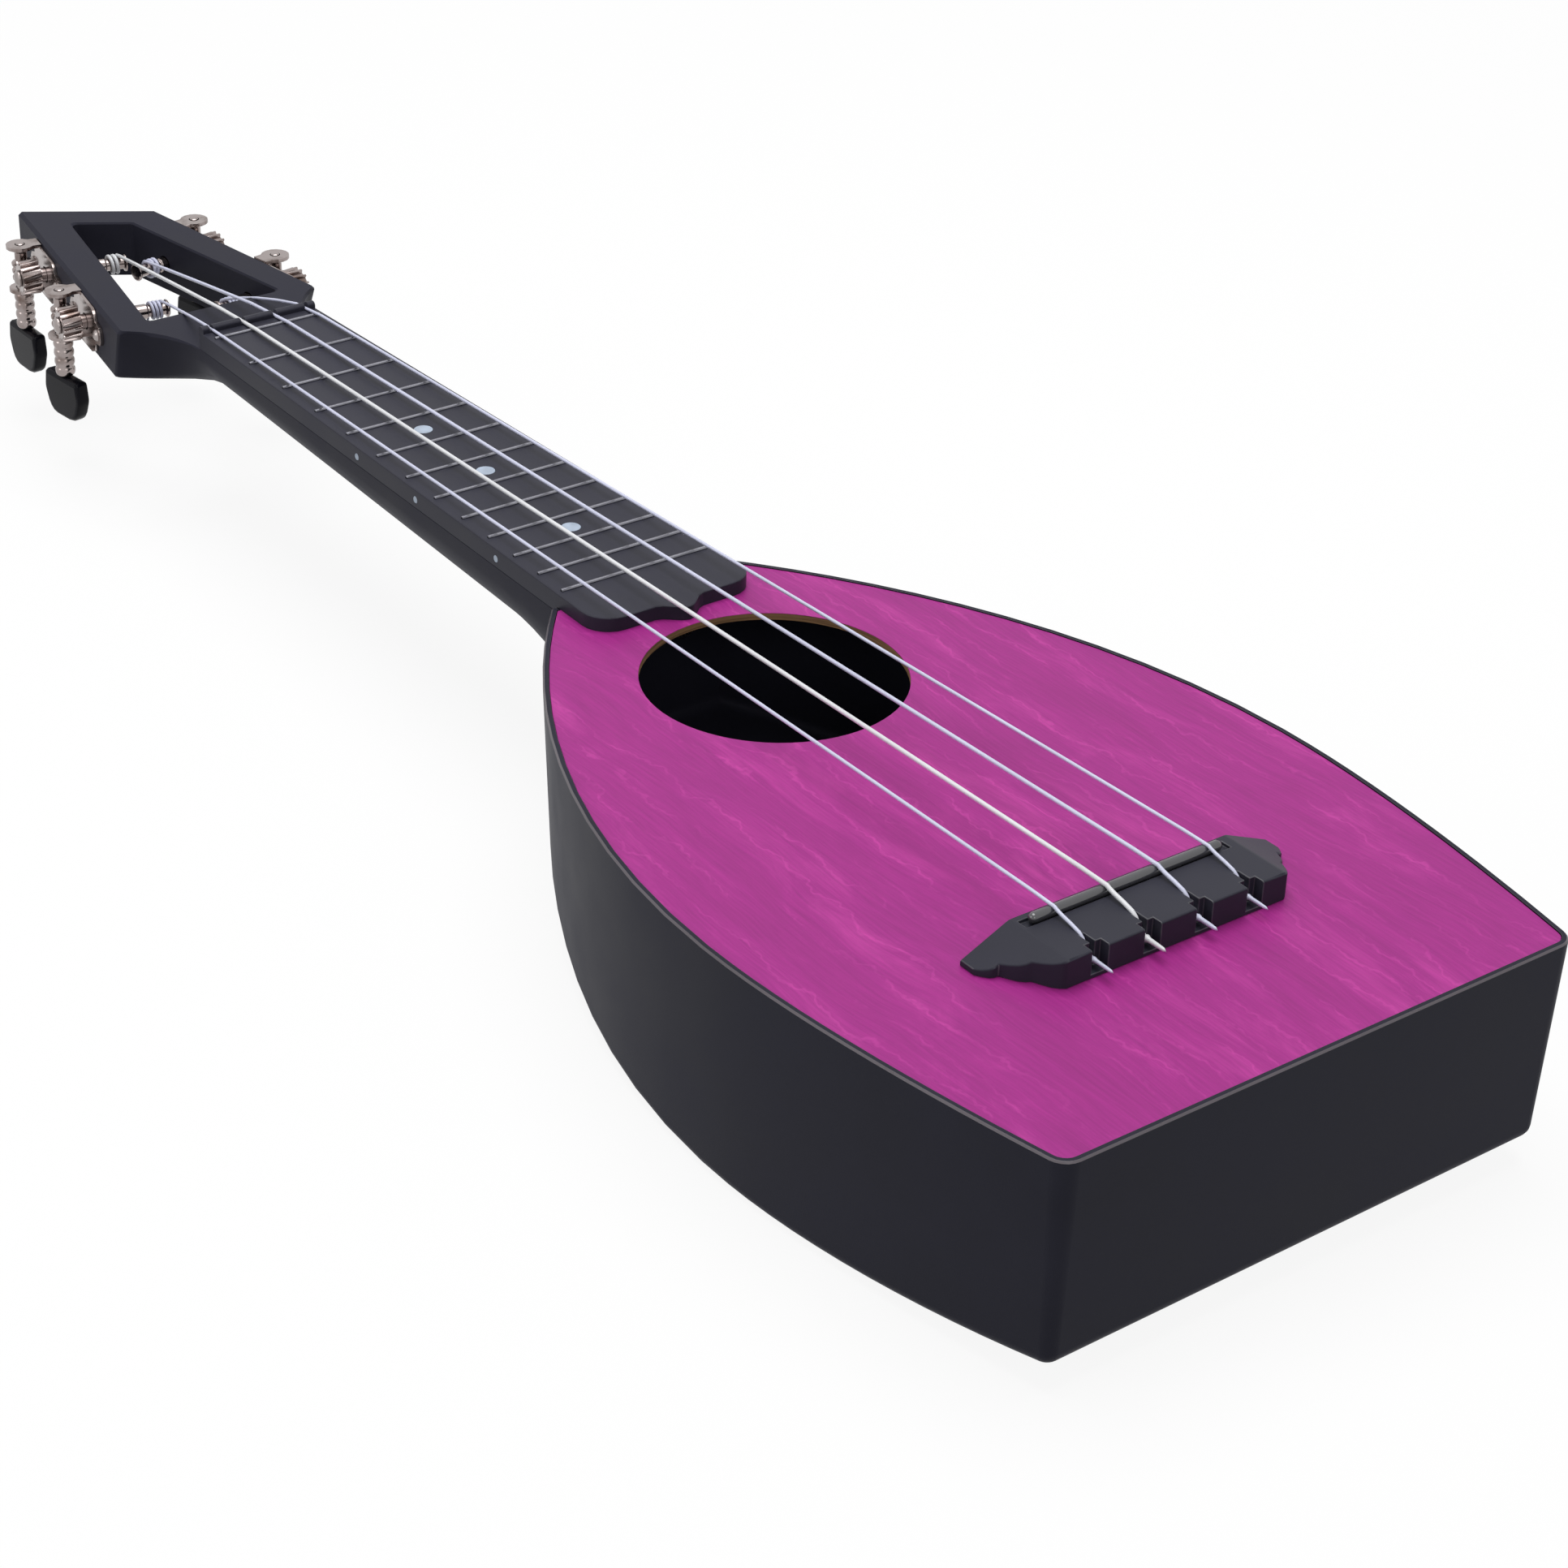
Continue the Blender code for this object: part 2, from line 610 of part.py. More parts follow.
def build_fretboard():
    """Moulded board with blind fret slots, dot recesses and a notched guide ridge past the zero fret."""
    outline = fretboard_outline()
    low = NECK_Z + GLUE_LINE
    bm = bmesh.new()
    rings = []
    for distance, height in ((0, low), (0, FRETBOARD_Z - EDGE_BREAK),
                             (EDGE_BREAK * 0.3, FRETBOARD_Z - EDGE_BREAK * 0.3), (EDGE_BREAK, FRETBOARD_Z)):
        rings.append([(x, y, height) for x, y in inset(outline, distance)])
    add_faces(bm, rings)
    board = finish_object("fretboard", bm, PLASTIC)
    ridge = bmesh.new()
    half = RIDGE_WIDTH / 2
    middle = RIDGE_Y - half
    profile = [(half, -0.001), (half, RIDGE_HEIGHT - 0.0008), (half * 0.8, RIDGE_HEIGHT - 0.0003),
               (half * 0.3, RIDGE_HEIGHT), (-half * 0.3, RIDGE_HEIGHT), (-half * 0.8, RIDGE_HEIGHT - 0.0003),
               (-half, RIDGE_HEIGHT - 0.0008), (-half, -0.001)]
    wide = board_half(RIDGE_Y) - 0.0001
    add_prism(ridge, profile, -wide, wide, across_frame(middle, FRETBOARD_Z))
    use_boolean(board, finish_object("guide_ridge", ridge, None), "UNION")
    cuts = bmesh.new()
    wide = TWELFTH_HALF + 0.01
    add_box(cuts, (-wide, FRETBOARD_END_Y - 0.01, low - 0.001),
            (wide, SHOULDER_Y + JOINT_GAP / 2, BOARD_Z + GLUE_LINE))
    for number in range(FRET_COUNT + 1):
        y = fret_y(number)
        half = board_half(y) - FRET_SHORT_OF_EDGE + TANG_FIT
        wall = TANG_WIDTH / 2 + TANG_FIT
        add_box(cuts, (-half, y - wall, FRETBOARD_Z - TANG_DEPTH - TANG_FIT),
                (half, y + wall, FRETBOARD_Z + 0.0003))
    for fret in DOTTED_FRETS:
        y = dot_y(fret)
        deep = DOT_THICK + DOT_FIT
        add_cylinder(cuts, DOT_RADIUS + DOT_FIT, -deep, 0.001, 20, Matrix.Translation((0, y, FRETBOARD_Z)))
        frame = axis_frame((-board_half(y), y, FRETBOARD_Z - SIDE_DOT_DROP), (-1, 0, 0))
        add_cylinder(cuts, SIDE_DOT_RADIUS + DOT_FIT, -deep, 0.001, 12, frame)
    for index, name in enumerate(STRING_NAMES):
        x = string_spread(index, NUT_SPREAD)
        wall = STRING_RADIUS[name] + 0.00022
        floor = FRETBOARD_Z + FRET_HEIGHT - 0.00005
        add_box(cuts, (x - wall, middle - 0.003, floor), (x + wall, middle + 0.003, FRETBOARD_Z + 0.004))
    use_boolean(board, finish_object("fretboard_cuts", cuts, None))


def head_half(y):
    """Half width of the neck and headstock past the nut, flare included."""
    if y <= FLARE_Y:
        return board_half(y)
    if y >= CORNER_Y:
        return HEAD_CORNER_HALF - HEAD_TAPER * (y - CORNER_Y)
    rise, run = HEAD_CORNER_HALF - board_half(FLARE_Y), CORNER_Y - FLARE_Y
    radius = (rise * rise + run * run) / (2 * rise)
    return board_half(FLARE_Y) + radius - math.sqrt(max(radius ** 2 - (y - FLARE_Y) ** 2, 0))


def head_lift(y):
    """How far the headstock's face has climbed at y; it leans up a little past the fretboard."""
    return HEAD_RISE * max(y - RIDGE_Y, 0)


def sweep_at(y):
    """How far the headstock's underside runs ahead of its face at y."""
    if y < CORNER_Y:
        return HEAD_SWEEP * max((y - FLARE_Y) / (CORNER_Y - FLARE_Y), 0)
    return HEAD_SWEEP * max((HEAD_END_Y - y) / (HEAD_END_Y - CORNER_Y), 0)


def neck_depth(y):
    """Thickness of neck and fretboard together, growing to the heel."""
    if y >= KNEE_Y:
        share = (NUT_Y - y) / (NUT_Y - KNEE_Y)
        return NECK_THICK_AT_NUT + (NECK_THICK_LOW - NECK_THICK_AT_NUT) * max(share, 0) ** 0.95
    share = (KNEE_Y - y) / (KNEE_Y - SHOULDER_Y)
    return NECK_THICK_LOW + (HEEL_THICK - NECK_THICK_LOW) * (1 - math.sqrt(max(1 - share ** 2 * 0.98, 0)))


def round_section(half, top, bottom, squareness, edge):
    """Right half of a D-shaped section, from the top edge round to the middle of the back."""
    deep = top - edge - bottom
    points = [(half - edge, top)]
    for k in range(9):
        turn = math.pi / 2 * k / 8
        points.append((half * math.cos(turn) ** (2 / squareness) if k < 8 else 0.0,
                       top - edge - deep * math.sin(turn) ** (2 / squareness)))
    return points


def block_section(half, top, bottom, edge, round_):
    """Right half of a rectangular section with rounded lower corners, with as many points."""
    deep = top - edge - bottom - round_
    slant = round_ * (1 - math.sqrt(0.5))
    return [(half - edge, top), (half, top - edge), (half, top - edge - deep * 0.35),
            (half, top - edge - deep * 0.7), (half, bottom + round_), (half - slant, bottom + slant), (half - round_, bottom),
            ((half - round_) * 0.66, bottom), ((half - round_) * 0.33, bottom), (0.0, bottom)]


def neck_ring(y, slant=0.0, shrink=0.0):
    """One closed ring of the neck and headstock; slant skews it in plan."""
    share = min(max((y - FLARE_Y) / (CORNER_Y - FLARE_Y), 0), 1)
    blend = share * share * (3 - 2 * share)
    heel = min(max((KNEE_Y - y) / 0.04, 0), 1)
    half = head_half(y) - shrink
    top = NECK_Z - shrink
    neck_bottom = FRETBOARD_Z - neck_depth(y)
    bottom = neck_bottom + (HEAD_Z - HEAD_THICK - neck_bottom) * blend + shrink
    edge = 0.0002 + (HEAD_EDGE - 0.0002) * blend
    squareness = NECK_SQUARENESS + (HEEL_SQUARENESS - NECK_SQUARENESS) * heel
    soft = round_section(half, top, bottom, squareness, edge)
    hard = block_section(half, top, bottom, edge, HEAD_BOTTOM_ROUND)
    right = [(a[0] + (b[0] - a[0]) * blend, a[1] + (b[1] - a[1]) * blend) for a, b in zip(soft, hard)]
    points = right + [(-x, z) for x, z in reversed(right[:-1])]
    sweep = sweep_at(y) / HEAD_THICK
    ring = []
    for x, z in points:
        side = 1 / (1 - HEAD_TAPER * slant) if x > 0 else 1 / (1 + HEAD_TAPER * slant)
        along = y - slant * x * side
        ahead = sweep * (top - z)
        narrow = 1 - HEAD_TAPER * ahead / (half * side)
        ring.append((x * side * narrow, along + ahead, z + head_lift(along + ahead)))
    return ring


def neck_stations():
    """Places of the neck's sections: heel, shaft, flare, then a headstock that turns to its slanted end."""
    places = [SHOULDER_Y + JOINT_GAP + 0.039 * (k / 8) ** 1.3 for k in range(9)]
    first = places[-1] + 0.012
    places += [first + (FLARE_Y - first) * k / 8 for k in range(9)]
    for share in (0.25, 0.45, 0.62, 0.76, 0.87, 0.95, 0.985):
        places.append(FLARE_Y + (CORNER_Y - FLARE_Y) * share)
    stations = [(y, 0.0, 0.0) for y in places + [CORNER_Y + 0.0006, CORNER_Y + 0.003]]
    run = HEAD_END_Y - 0.0012 - CORNER_Y - 0.003
    for k in range(1, 5):
        stations.append((CORNER_Y + 0.003 + run * k / 4, HEAD_END_SLANT * k / 4, 0.0))
    stations.append((HEAD_END_Y - 0.0003, HEAD_END_SLANT, 0.0003))
    stations.append((HEAD_END_Y, HEAD_END_SLANT, HEAD_EDGE))
    return stations


def slot_outline(grow, ramp):
    """Counter-clockwise outline of the string slot; grow widens it and ramp pulls its front edge back."""
    front, end = NUT_Y + SLOT_FRONT_PAST_NUT, NUT_Y + SLOT_END_PAST_NUT
    front_half = SLOT_FRONT_HALF + grow
    middle = front_half - SLOT_TAPER * (end + grow - front)
    right = middle / (1 - SLOT_TAPER * HEAD_END_SLANT)
    left = -middle / (1 + SLOT_TAPER * HEAD_END_SLANT)
    corners = [(-front_half, front - grow - ramp), (front_half, front - grow - ramp),
               (right, end + grow - HEAD_END_SLANT * right), (left, end + grow - HEAD_END_SLANT * left)]
    return round_corners(corners, [SLOT_CORNER] * 4, 3)


def tuner_frames():
    """Each tuner's frame on the headstock's side: out of the side, towards the head, up."""
    frames = {}
    places = {"g": (-1, FIRST_POST_LEFT), "c": (-1, FIRST_POST_LEFT + PITCH_BETWEEN_POSTS),
              "e": (1, FIRST_POST_RIGHT + PITCH_BETWEEN_POSTS), "a": (1, FIRST_POST_RIGHT)}
    for name, (side, past_nut) in places.items():
        y = NUT_Y + past_nut
        origin = Vector((side * head_half(y), y, HEAD_Z - POST_DROP))
        out = Vector((side * math.cos(HEAD_LEAN), math.sin(HEAD_LEAN), 0))
        along = Vector((-side * math.sin(HEAD_LEAN), math.cos(HEAD_LEAN), 0))
        turn = Matrix((out, along, Vector((0, 0, 1)))).transposed().to_4x4()
        frames[name] = Matrix.Translation(origin) @ turn
    return frames


def post_frame(frame):
    """The tuner's frame with its third axis along the post, pointing outwards."""
    return frame @ Matrix(((0, 0, 1, 0), (0, 1, 0, 0), (-1, 0, 0, 0), (0, 0, 0, 1)))


def build_neck(frames):
    """Moulded neck with its heel and slotted headstock in one piece."""
    bm = bmesh.new()
    add_faces(bm, [neck_ring(*station) for station in neck_stations()])
    neck = finish_object("neck", bm, PLASTIC)
    slot = bmesh.new()
    rings = []
    for grow, ramp, height in ((0, 0, HEAD_Z - HEAD_THICK - 0.004),
                               (0, 0, HEAD_Z - SLOT_EDGE - STRING_RAMP * 0.5),
                               (0, STRING_RAMP * 0.6, HEAD_Z - SLOT_EDGE),
                               (SLOT_EDGE, STRING_RAMP - SLOT_EDGE, HEAD_Z),
                               (SLOT_EDGE, STRING_RAMP - SLOT_EDGE, HEAD_Z + 0.003)):
        rings.append([(x, y, height + head_lift(y)) for x, y in slot_outline(grow, ramp)])
    add_faces(slot, rings)
    use_boolean(neck, finish_object("slot_cut", slot, None))
    bores = bmesh.new()
    for frame in frames.values():
        add_cylinder(bores, POST_RADIUS + POST_FIT, -0.0135, 0.003, 16, post_frame(frame))
    for centre in bolt_places():
        frame = axis_frame(centre, (0, 1, 0))
        add_cylinder(bores, BOLT_RADIUS + BOLT_FIT, -0.004, BOLT_LENGTH + 0.001, 16, frame)
    use_boolean(neck, finish_object("neck_bores", bores, None))


def bolt_places():
    """Where the two bolts cross the face between heel and shell, left then right."""
    return [(side * BOLT_SPREAD, SHOULDER_Y, BOARD_Z - BOLT_DROP) for side in (-1, 1)]


def build_bolts():
    """Two bolts that pull the heel against the shell from inside the body."""
    seat = -SIDE_DRAFT - SIDE_WALL - 0.0003
    back = seat - BOLT_HEAD_THICK
    for name, centre in zip(("neck_bolt_left", "neck_bolt_right"), bolt_places()):
        frame = axis_frame(centre, (0, 1, 0))
        bm = bmesh.new()
        rings = []
        for radius, height in ((BOLT_HEAD_RADIUS * 0.9, back), (BOLT_HEAD_RADIUS, back + 0.0005),
                               (BOLT_HEAD_RADIUS, seat), (BOLT_RADIUS, seat), (BOLT_RADIUS, BOLT_LENGTH - 0.001),
                               (BOLT_RADIUS - 0.0008, BOLT_LENGTH)):
            rings.append([frame @ Vector((x, y, height)) for x, y in circle(radius, 16)])
        add_faces(bm, rings)
        finish_object(name, bm, STEEL, centre)


def wing_back(x):
    """How far behind the saddle the bridge's scalloped rear edge lies at x."""
    for (outer, near), (inner, far) in zip(WING_STEPS, WING_STEPS[1:]):
        if inner <= x <= outer:
            share = (outer - x) / (outer - inner)
            return near + (far - near) * share + WING_BULGE * math.sin(math.pi * share)
    return BRIDGE_BACK


def bridge_stations():
    """Half widths at which the bridge is sectioned, tip to middle."""
    places = []
    for (outer, _), (inner, _) in zip(WING_STEPS, WING_STEPS[1:]):
        places += [outer + (inner - outer) * k / 4 for k in range(4)]
    return places + [WING_STEPS[-1][0], BRIDGE_HALF - 0.0006]


def build_bridge():
    """Tie-slot bridge: a flat block with sloping scalloped wings and a groove for the saddle rod."""
    low = BOARD_Z + GLUE_LINE
    break_ = 0.0004
    bm = bmesh.new()
    rings = []
    stations = bridge_stations()
    for x in stations + [-x for x in reversed(stations)]:
        share = min(max((WING_TIP - abs(x)) / (WING_TIP - BRIDGE_HALF), 0), 1)
        top = BOARD_Z + WING_TIP_HEIGHT + (BRIDGE_HEIGHT - WING_TIP_HEIGHT) * share
        front = SADDLE_Y + WING_FRONT + (BRIDGE_FRONT - WING_FRONT) * share
        back = SADDLE_Y - wing_back(abs(x))
        rings.append([(x, front, low), (x, front, top - break_), (x, front - break_, top),
                      (x, back + break_, top), (x, back, top - break_), (x, back, low)])
    add_faces(bm, rings)
    bridge = finish_object("bridge", bm, PLASTIC)
    cuts = bmesh.new()
    centre = BOARD_Z + ROD_TOP_OVER_BOARD - ROD_RADIUS
    radius = ROD_RADIUS + ROD_FIT
    add_box(cuts, (-ROD_LEFT - GROOVE_PAST_ROD, SADDLE_Y - radius, centre - radius),
            (ROD_RIGHT + GROOVE_PAST_ROD, SADDLE_Y + radius, BOARD_Z + BRIDGE_HEIGHT + 0.001))
    floor = BOARD_Z + STRING_LEDGE
    high = BOARD_Z + BRIDGE_HEIGHT + 0.002
    for index in range(len(STRING_NAMES)):
        x = string_spread(index, SADDLE_SPREAD)
        neck_end = SADDLE_Y - STRING_SLOT_START
        notch = SADDLE_Y - BRIDGE_BACK + STRING_NOTCH_DEPTH
        slot, wide = STRING_SLOT_WIDTH / 2, STRING_NOTCH_WIDTH / 2
        rear = SADDLE_Y - BRIDGE_BACK - 0.002
        outline = [(x - wide, rear), (x + wide, rear), (x + wide, notch), (x + slot, notch),
                   (x + slot, neck_end - slot * 0.6), (x + slot * 0.5, neck_end), (x - slot * 0.5, neck_end),
                   (x - slot, neck_end - slot * 0.6), (x - slot, notch), (x - wide, notch)]
        add_prism(cuts, outline, floor, high)
    use_boolean(bridge, finish_object("bridge_cuts", cuts, None))
    rod = bmesh.new()
    frame = axis_frame((0, SADDLE_Y, centre), (1, 0, 0))
    ends = [(0, -ROD_LEFT), (ROD_RADIUS * 0.7, -ROD_LEFT + 0.0003), (ROD_RADIUS, -ROD_LEFT + 0.001),
            (ROD_RADIUS, ROD_RIGHT - 0.001), (ROD_RADIUS * 0.7, ROD_RIGHT - 0.0003), (0, ROD_RIGHT)]
    add_lathe(rod, ends, 16, frame)
    finish_object("saddle_rod", rod, PLASTIC, (0, SADDLE_Y, centre))


def winding_points(frame, name, nut_point):
    """Tangent point, loops and short free end of a string on its post, in the part's frame."""
    start = frame.inverted() @ Vector(nut_point)
    radius = STRING_RADIUS[name]
    full_turns = WINDING_TURNS[name]
    reach = POST_WAIST + WINDING_LIFT + radius
    away = math.hypot(start.y, start.z)
    first = math.atan2(start.z, start.y) - math.acos(reach / away)
    step = 2 * radius + WINDING_GAP
    points = []
    total = full_turns * POINTS_PER_TURN + POINTS_PER_TURN // 3
    for k in range(total + 1):
        turns = k / POINTS_PER_TURN
        angle = first - 2 * math.pi * turns
        along = -WINDING_INSIDE[name] + step * (turns - full_turns / 2)
        points.append(frame @ Vector((along, reach * math.cos(angle), reach * math.sin(angle))))
    angle = first - 2 * math.pi * total / POINTS_PER_TURN
    tail = Vector((0.0003, 0.0022 * math.sin(angle), -0.0022 * math.cos(angle)))
    points.append(points[-1] + frame.to_3x3() @ tail)
    return points


def slot_rest(start, end, radius):
    """Where a string bends over the slot's front edge, or None where it runs clear of it."""
    y = NUT_Y + SLOT_FRONT_PAST_NUT - STRING_RAMP - 0.0003
    share = (y - start[1]) / (end.y - start[1])
    z = HEAD_Z + head_lift(y) + radius + STRING_LIFT
    if start[2] + (end.z - start[2]) * share > z:
        return None
    return (start[0] + (end.x - start[0]) * share, y, z)


def least_gap(points, radius):
    """Least space between loops that are not neighbours along the string."""
    least = 1.0
    for i, here in enumerate(points):
        for there in points[i + POINTS_PER_TURN // 2:]:
            least = min(least, (here - there).length)
    return least - 2 * radius


def build_strings(frames):
    """Four strings, each one tube from its free end behind the bridge to its winding."""
    for index, name in enumerate(STRING_NAMES):
        radius = STRING_RADIUS[name]
        x = string_spread(index, SADDLE_SPREAD)
        nut_x = string_spread(index, NUT_SPREAD)
        over_rod = BOARD_Z + ROD_TOP_OVER_BOARD + radius + STRING_LIFT
        over_fret = FRETBOARD_Z + FRET_HEIGHT + radius + STRING_LIFT
        block = BOARD_Z + BRIDGE_HEIGHT
        leave = BOARD_Z + STRING_EXIT
        entry = STRING_SLOT_START + radius * 1.3 + 0.00015
        nut_point = (nut_x, RIDGE_Y - 0.0002, over_fret)
        knot = SADDLE_Y - BRIDGE_BACK + STRING_NOTCH_DEPTH - 0.0008
        route = [(x, SADDLE_Y - STRING_TAIL_END, leave), (x, knot - 0.0006, leave), (x, knot - 0.0004, leave),
                 (x, knot, leave), (x, knot + 0.0003, leave), (x, knot + 0.0005, leave),
                 (x, SADDLE_Y - 0.0118, leave + 0.0006), (x, SADDLE_Y - entry - 0.0004, block - 0.0016),
                 (x, SADDLE_Y - entry, block + radius * 0.6), (x, SADDLE_Y - 0.0022, over_rod - 0.0010),
                 (x, SADDLE_Y - 0.0007, over_rod - 0.00015), (x, SADDLE_Y, over_rod)]
        swell = [1, 1, 1.5, 1.9, 1.5] + [1] * 7
        route += [(nut_x, NUT_Y, over_fret), nut_point]
        loops = winding_points(frames[name], name, nut_point)
        bend = slot_rest(nut_point, loops[0], radius)
        if bend:
            loops = winding_points(frames[name], name, bend)
            route.append(bend)
        print(f"string_{name}: least gap between loops {least_gap(loops, radius) * 1000:.2f} mm")
        route += [tuple(point) for point in loops]
        curve = bpy.data.curves.new(f"string_{name}", "CURVE")
        curve.dimensions = "3D"
        curve.bevel_depth = radius
        curve.bevel_resolution = 1
        curve.use_fill_caps = True
        curve.materials.append(get_material(NYLON))
        spline = curve.splines.new("POLY")
        spline.points.add(len(route) - 1)
        for point, place in zip(spline.points, route):
            point.co = (*place, 1)
        for point, factor in zip(spline.points, swell):
            point.radius = factor
        bpy.context.scene.collection.objects.link(bpy.data.objects.new(f"string_{name}", curve))


def plate_outline():
    """Plate in the (along, up) plane: a rounded end each way and a riser up to the folded ears."""
    half, body = PLATE_HALF_LENGTH, PLATE_BODY_HALF
    low = PLATE_BOTTOM
    foot = [(body * 0.55, -low), (body * 0.85, -low * 0.86), (body, -low * 0.55), (body + 0.0008, -0.0032),
            (half - 0.0010, -0.0026), (half, -0.0012), (half, 0.0012), (half - 0.0010, 0.0026)]
    near, far = WORM_AWAY - EAR_LINK_HALF + EAR_STEP, WORM_AWAY + EAR_LINK_HALF - EAR_STEP
    riser = [(far, 0.0036), (far, UPPER_EAR - 0.0002), (near, UPPER_EAR - 0.0002), (near, 0.0066)]
    shoulder = [(-body * 0.8, 0.0062), (-body, 0.0050), (-body - 0.0008, 0.0032)]
    return foot + riser + shoulder + [(-x, z) for x, z in reversed(foot)]


def ear_outline():
    """Round ear on a narrow link, in the (out, along) plane."""
    open_ = math.pi - math.asin(EAR_LINK_HALF / EAR_HALF)
    link = [(0.0003, WORM_AWAY + EAR_LINK_HALF), (0.0003, WORM_AWAY - EAR_LINK_HALF)]
    turns = [open_ * (2 * k / 12 - 1) for k in range(13)]
    return link + [(GEAR_MIDDLE + EAR_HALF * math.cos(turn), WORM_AWAY + EAR_HALF * math.sin(turn))
                   for turn in turns]


def build_plate(name, frame):
    """Tuner side plate with two ears folded out to carry the worm."""
    flat = frame @ Matrix(((0, 0, 1, 0), (1, 0, 0, 0), (0, 1, 0, 0), (0, 0, 0, 1)))
    bm = bmesh.new()
    add_prism(bm, plate_outline(), GLUE_LINE, PLATE_METAL, flat)
    plate = finish_object(f"tuner_{name}_plate", bm, NICKEL)
    ears = bmesh.new()
    add_prism(ears, ear_outline(), -LOWER_EAR - PLATE_METAL, -LOWER_EAR, frame)
    add_prism(ears, ear_outline(), UPPER_EAR - PLATE_METAL, UPPER_EAR, frame)
    use_boolean(plate, finish_object(f"tuner_{name}_ears", ears, None), "UNION")
    holes = bmesh.new()
    add_cylinder(holes, POST_RADIUS + POST_FIT, -0.001, 0.002, 16, post_frame(frame))
    worm = frame @ Matrix.Translation((GEAR_MIDDLE, WORM_AWAY, 0))
    add_cylinder(holes, PIN_RADIUS + PIVOT_FIT, UPPER_EAR - 0.002, UPPER_EAR + 0.001, 14, worm)
    add_cylinder(holes, SHAFT_NECK + PIVOT_FIT, -LOWER_EAR - 0.002, -LOWER_EAR + 0.001, 14, worm)
    for side in (-1, 1):
        hole = frame @ Matrix.Translation((0, side * (PLATE_HALF_LENGTH - 0.0026), 0))
        add_cylinder(holes, 0.0009, -0.001, 0.003, 10, post_frame(hole))
    use_boolean(plate, finish_object(f"tuner_{name}_holes", holes, None))


def ridge_share(phase):
    """0 in the groove and 1 on the crest of a tooth or thread, for a phase of -0.5 to 0.5."""
    return min(max((0.27 - abs(phase)) / 0.14, 0), 1)


def build_worm(name, frame):
    """Worm, beaded stem and pivot pin in one turned piece."""
    axis = frame @ Matrix.Translation((GEAR_MIDDLE, WORM_AWAY, 0))
    around = 10
    thread_half = 2 * WORM_PITCH
    rows = [(UPPER_EAR + 0.0003, PIN_RADIUS * 0.8), (UPPER_EAR + 0.0001, PIN_RADIUS),
            (UPPER_EAR - PLATE_METAL - 0.0002, PIN_RADIUS), (UPPER_EAR - PLATE_METAL - 0.0002, 0.0022),
            (thread_half + 0.0015, 0.0023), (thread_half + 0.0009, WORM_ROOT)]
    per_turn = 5
    for k in range(4 * per_turn + 1):
        rows.append((thread_half - 4 * WORM_PITCH * k / (4 * per_turn), None))
    low = -LOWER_EAR + 0.0002
    rows += [(low, WORM_ROOT + 0.0002), (low - 0.0001, SHAFT_NECK),
             (-LOWER_EAR - PLATE_METAL - 0.0003, SHAFT_NECK)]
    start = LOWER_EAR + PLATE_METAL + 0.0004
    bead = (SHAFT_END - start) / SHAFT_BEADS
    for k in range(SHAFT_BEADS):
        rows += [(-start - bead * (k + 0.12), SHAFT_WAIST_RADIUS),
                 (-start - bead * (k + 0.38), SHAFT_BEAD_RADIUS),
                 (-start - bead * (k + 0.72), SHAFT_BEAD_RADIUS)]
    rows += [(-SHAFT_END, SHAFT_WAIST_RADIUS), (-SHAFT_END, STEM_RADIUS),
             (-SHAFT_END - STEM_DEPTH, STEM_RADIUS)]
    rings = []
    for height, radius in rows:
        ring = []
        for i in range(around):
            turn = 2 * math.pi * i / around
            size = radius
            if radius is None:
                phase = (height / WORM_PITCH - (turn + math.pi / 2) / (2 * math.pi)) % 1 - 0.5
                size = WORM_ROOT + (WORM_TIP - WORM_ROOT) * ridge_share(phase)
            ring.append(axis @ Vector((size * math.cos(turn), size * math.sin(turn), height)))
        rings.append(ring)
    bm = bmesh.new()
    add_faces(bm, rings)
    finish_object(f"tuner_{name}_worm", bm, NICKEL, axis.translation)


def build_button(name, frame):
    """Flat paddle button moulded on the end of the worm's stem."""
    turn = Matrix.Rotation(math.radians(BUTTON_TURN[name]), 4, "Z")
    axis = frame @ Matrix.Translation((GEAR_MIDDLE, WORM_AWAY, 0)) @ turn
    top = -SHAFT_END - 0.0003
    foot = top - BUTTON_TALL
    widest = top - BUTTON_TALL * 0.45
    corners = [(-BUTTON_FOOT_HALF, foot), (BUTTON_FOOT_HALF, foot), (BUTTON_HALF, widest),
               (BUTTON_HALF - 0.0008, top), (-BUTTON_HALF + 0.0008, top), (-BUTTON_HALF, widest)]
    outline = round_corners(corners, [0.0045, 0.0045, 0.0045, 0.0012, 0.0012, 0.0045], 3)
    half = BUTTON_THICK / 2
    bm = bmesh.new()
    rings = []
    for distance, across in ((0.0012, -half), (0.0004, -half + 0.0003), (0, -half + 0.001),
                             (0, half - 0.001), (0.0004, half - 0.0003), (0.0012, half)):
        rings.append([axis @ Vector((across, v, w)) for v, w in inset(outline, distance)])
    add_faces(bm, rings)
    button = finish_object(f"tuner_{name}_button", bm, PLASTIC, axis.translation)
    hole = bmesh.new()
    add_cylinder(hole, STEM_RADIUS + 0.0002, top - STEM_DEPTH - 0.0003, top + 0.002, 12, axis)
    use_boolean(button, finish_object(f"tuner_{name}_stem_hole", hole, None))


